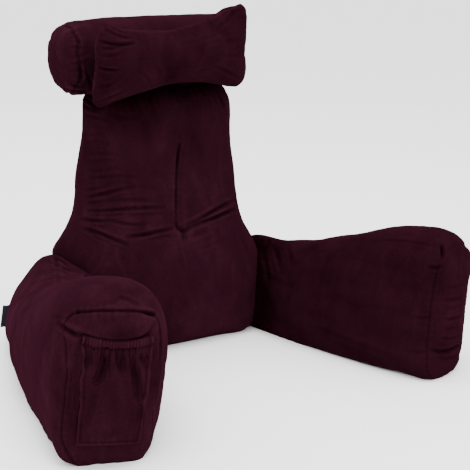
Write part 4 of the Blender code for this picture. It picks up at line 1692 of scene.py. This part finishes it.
    def gusset_place(self, along: float, out: float) -> Place:
        """Place on the gusset.

        Args:
            along: position along its border, from 0 to 1.
            out: position out from the panel, from 0 to 1.

        Returns:
            The place.
        """
        sewn, front, stand = self.border(along)
        across = sewn[0] + (front[0] - sewn[0]) * out
        height = sewn[1] + (front[1] - sewn[1]) * out
        bow = sin(pi * out) * (self.gusset_bow[0] + self.gusset_bow[1] * sin(along * 61.0))
        across *= 1.0 + bow / self.gusset_depth
        return self.end.on_panel(self.middle + across, height, (stand + 0.0013) * out - self.gusset_sunk)

    def build_front(self) -> bpy.types.Object:
        """Make the gathered front with its hem, with painted light and shade on its gathers, a painted
        shadow under its hem, and painted highlight and shade along its edges.

        Returns:
            The front.
        """
        piece, spots = cloth_grid("pocket_front_velvet", 150, 130, self.front_place)
        relief = Relief(piece, self.studio)
        tall = self.heights[-1] - self.heights[0]
        below = (1.0 - spots[:, 1]) * tall
        fading = 0.6 * np.exp(-(below - self.band) / 0.016)
        gathered = np.where(below < self.band, 1.0, fading)
        waves = np.array([self.wave(spot * 2.0 - 1.0)[0] for spot in spots[:, 0]])
        # Painted light and shade on the hem's gathers, and a painted shadow under the hem.
        relief.tone += self.painted_band_light * gathered * waves
        relief.tone -= self.hem_shade * bell(below - self.band * 1.12, self.edge_width)
        side = 0.5 - np.abs(spots[:, 0] - 0.5)
        edge = np.minimum(side * 2.0 * self.front[0], spots[:, 1] * tall)
        # Painted highlight along the edges, and painted shade beside the stitched seam inside them.
        relief.tone += self.edge_light * bell(edge, self.edge_width)
        relief.tone -= self.seam_shade * bell(edge - self.seam_in, 0.0016)
        relief.seam = np.maximum(relief.seam, self.seam_strength * bell(edge - self.seam_in, 0.0009))
        relief.swell((120, 404), 0.045, 0.0045)
        relief.swell((92, 360), 0.026, 0.0030)
        for crease in self.creases:
            relief.press(crease)
        foot = self.heights[0] + self.base_inset
        half = self.front[0] - self.base_inset
        corners = [self.end.on_panel(self.middle + x, foot, self.stand[0]) for x in (-half, half)]
        relief.pucker(Gathers(tuple(corners), 0.010, 0.012, 0.0006), 71)
        for share in self.stitches:
            up = (tall - self.band * share) / tall
            stitched = Line([self.front_place(index / 24.0, up) for index in range(25)])
            away, _, _ = stitched.measure(relief.points)
            relief.seam = np.maximum(relief.seam, bell(away, self.stitch_width))
        relief.finish()
        give_thickness(piece, self.sheet)
        return piece

    def build_gusset(self) -> bpy.types.Object:
        """Make the gusset.

        Returns:
            The gusset.
        """
        piece, _ = cloth_grid("pocket_gusset_velvet", 240, 14, self.gusset_place)
        relief = Relief(piece, self.studio)
        relief.wrinkle(0.0009, 40.0, 72)
        relief.tone -= self.gusset_shade
        relief.finish()
        give_thickness(piece, self.sheet)
        return piece

    def build(self) -> None:
        """Make and declare both pieces."""
        front = self.build_front()
        gusset = self.build_gusset()
        for piece, node in ((front, "pocket_front"), (gusset, "pocket_gusset")):
            VelvetFinish().dress(piece)
            declare(piece, node)


@dataclass
class SideTag:
    """Blank folded ribbon in the outer side of the left arm."""

    half_gap: float = 0.00055
    fold_share: float = 0.08
    round_share: float = 0.10
    end_short: tuple[float, float] = (0.0040, 0.0120)
    low_drop: float = 0.004
    top_drop: float = 0.004
    ripple: float = 0.0006
    sheet: float = 0.00055

    def place(self, round_fold: float, up: float) -> Place:
        """Place on the ribbon.

        Args:
            round_fold: position round the fold, from 0 to 1.
            up: position up the ribbon, from 0 to 1.

        Returns:
            The place.
        """
        low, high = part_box("side_tag")
        low.x += self.end_short[0] + (self.end_short[1] - self.end_short[0]) * up
        turn = (round_fold - 0.5) * 2.0
        rooted = max(0.0, abs(turn) - self.fold_share) / (1.0 - self.fold_share)
        x = low.x + (high.x - low.x) * rooted
        apart = np.sign(turn) * min(1.0, abs(turn) / self.round_share) ** 0.5 * self.half_gap
        lean = (x - low.x) * (high.y - low.y - 2.0 * self.half_gap) / (high.x - low.x)
        z = low.z - self.low_drop + (high.z - self.top_drop - low.z + self.low_drop) * up
        return (x, high.y + apart - lean, z + self.ripple * sin(rooted * 5.0 + up * 3.0))

    def build(self) -> None:
        piece, _ = cloth_grid("side_tag_ribbon", 40, 24, self.place)
        give_thickness(piece, self.sheet)
        RibbonFinish().dress(piece)
        declare(piece, "side_tag")


def main() -> None:
    """Build the studio and every piece, and report how many points each has."""
    logging.basicConfig(level=logging.INFO, format="%(name)s %(message)s")
    studio = Studio()
    studio.build()
    BackCushion("back_cushion", "back_velvet", studio, ("neck_roll", "head_pillow"), voxel=0.006).build()
    LeftArm("arm_left", "arm_left_velvet", studio, ("back_cushion",)).build()
    RightArm("arm_right", "arm_right_velvet", studio, ("back_cushion",)).build()
    NeckRoll("neck_roll", "neck_roll_velvet", studio, ("back_cushion",)).build()
    HeadPillow("head_pillow", "head_pillow_velvet", studio, ("neck_roll",)).build()
    Pocket(studio).build()
    SideTag().build()


if __name__ == "__main__":
    main()
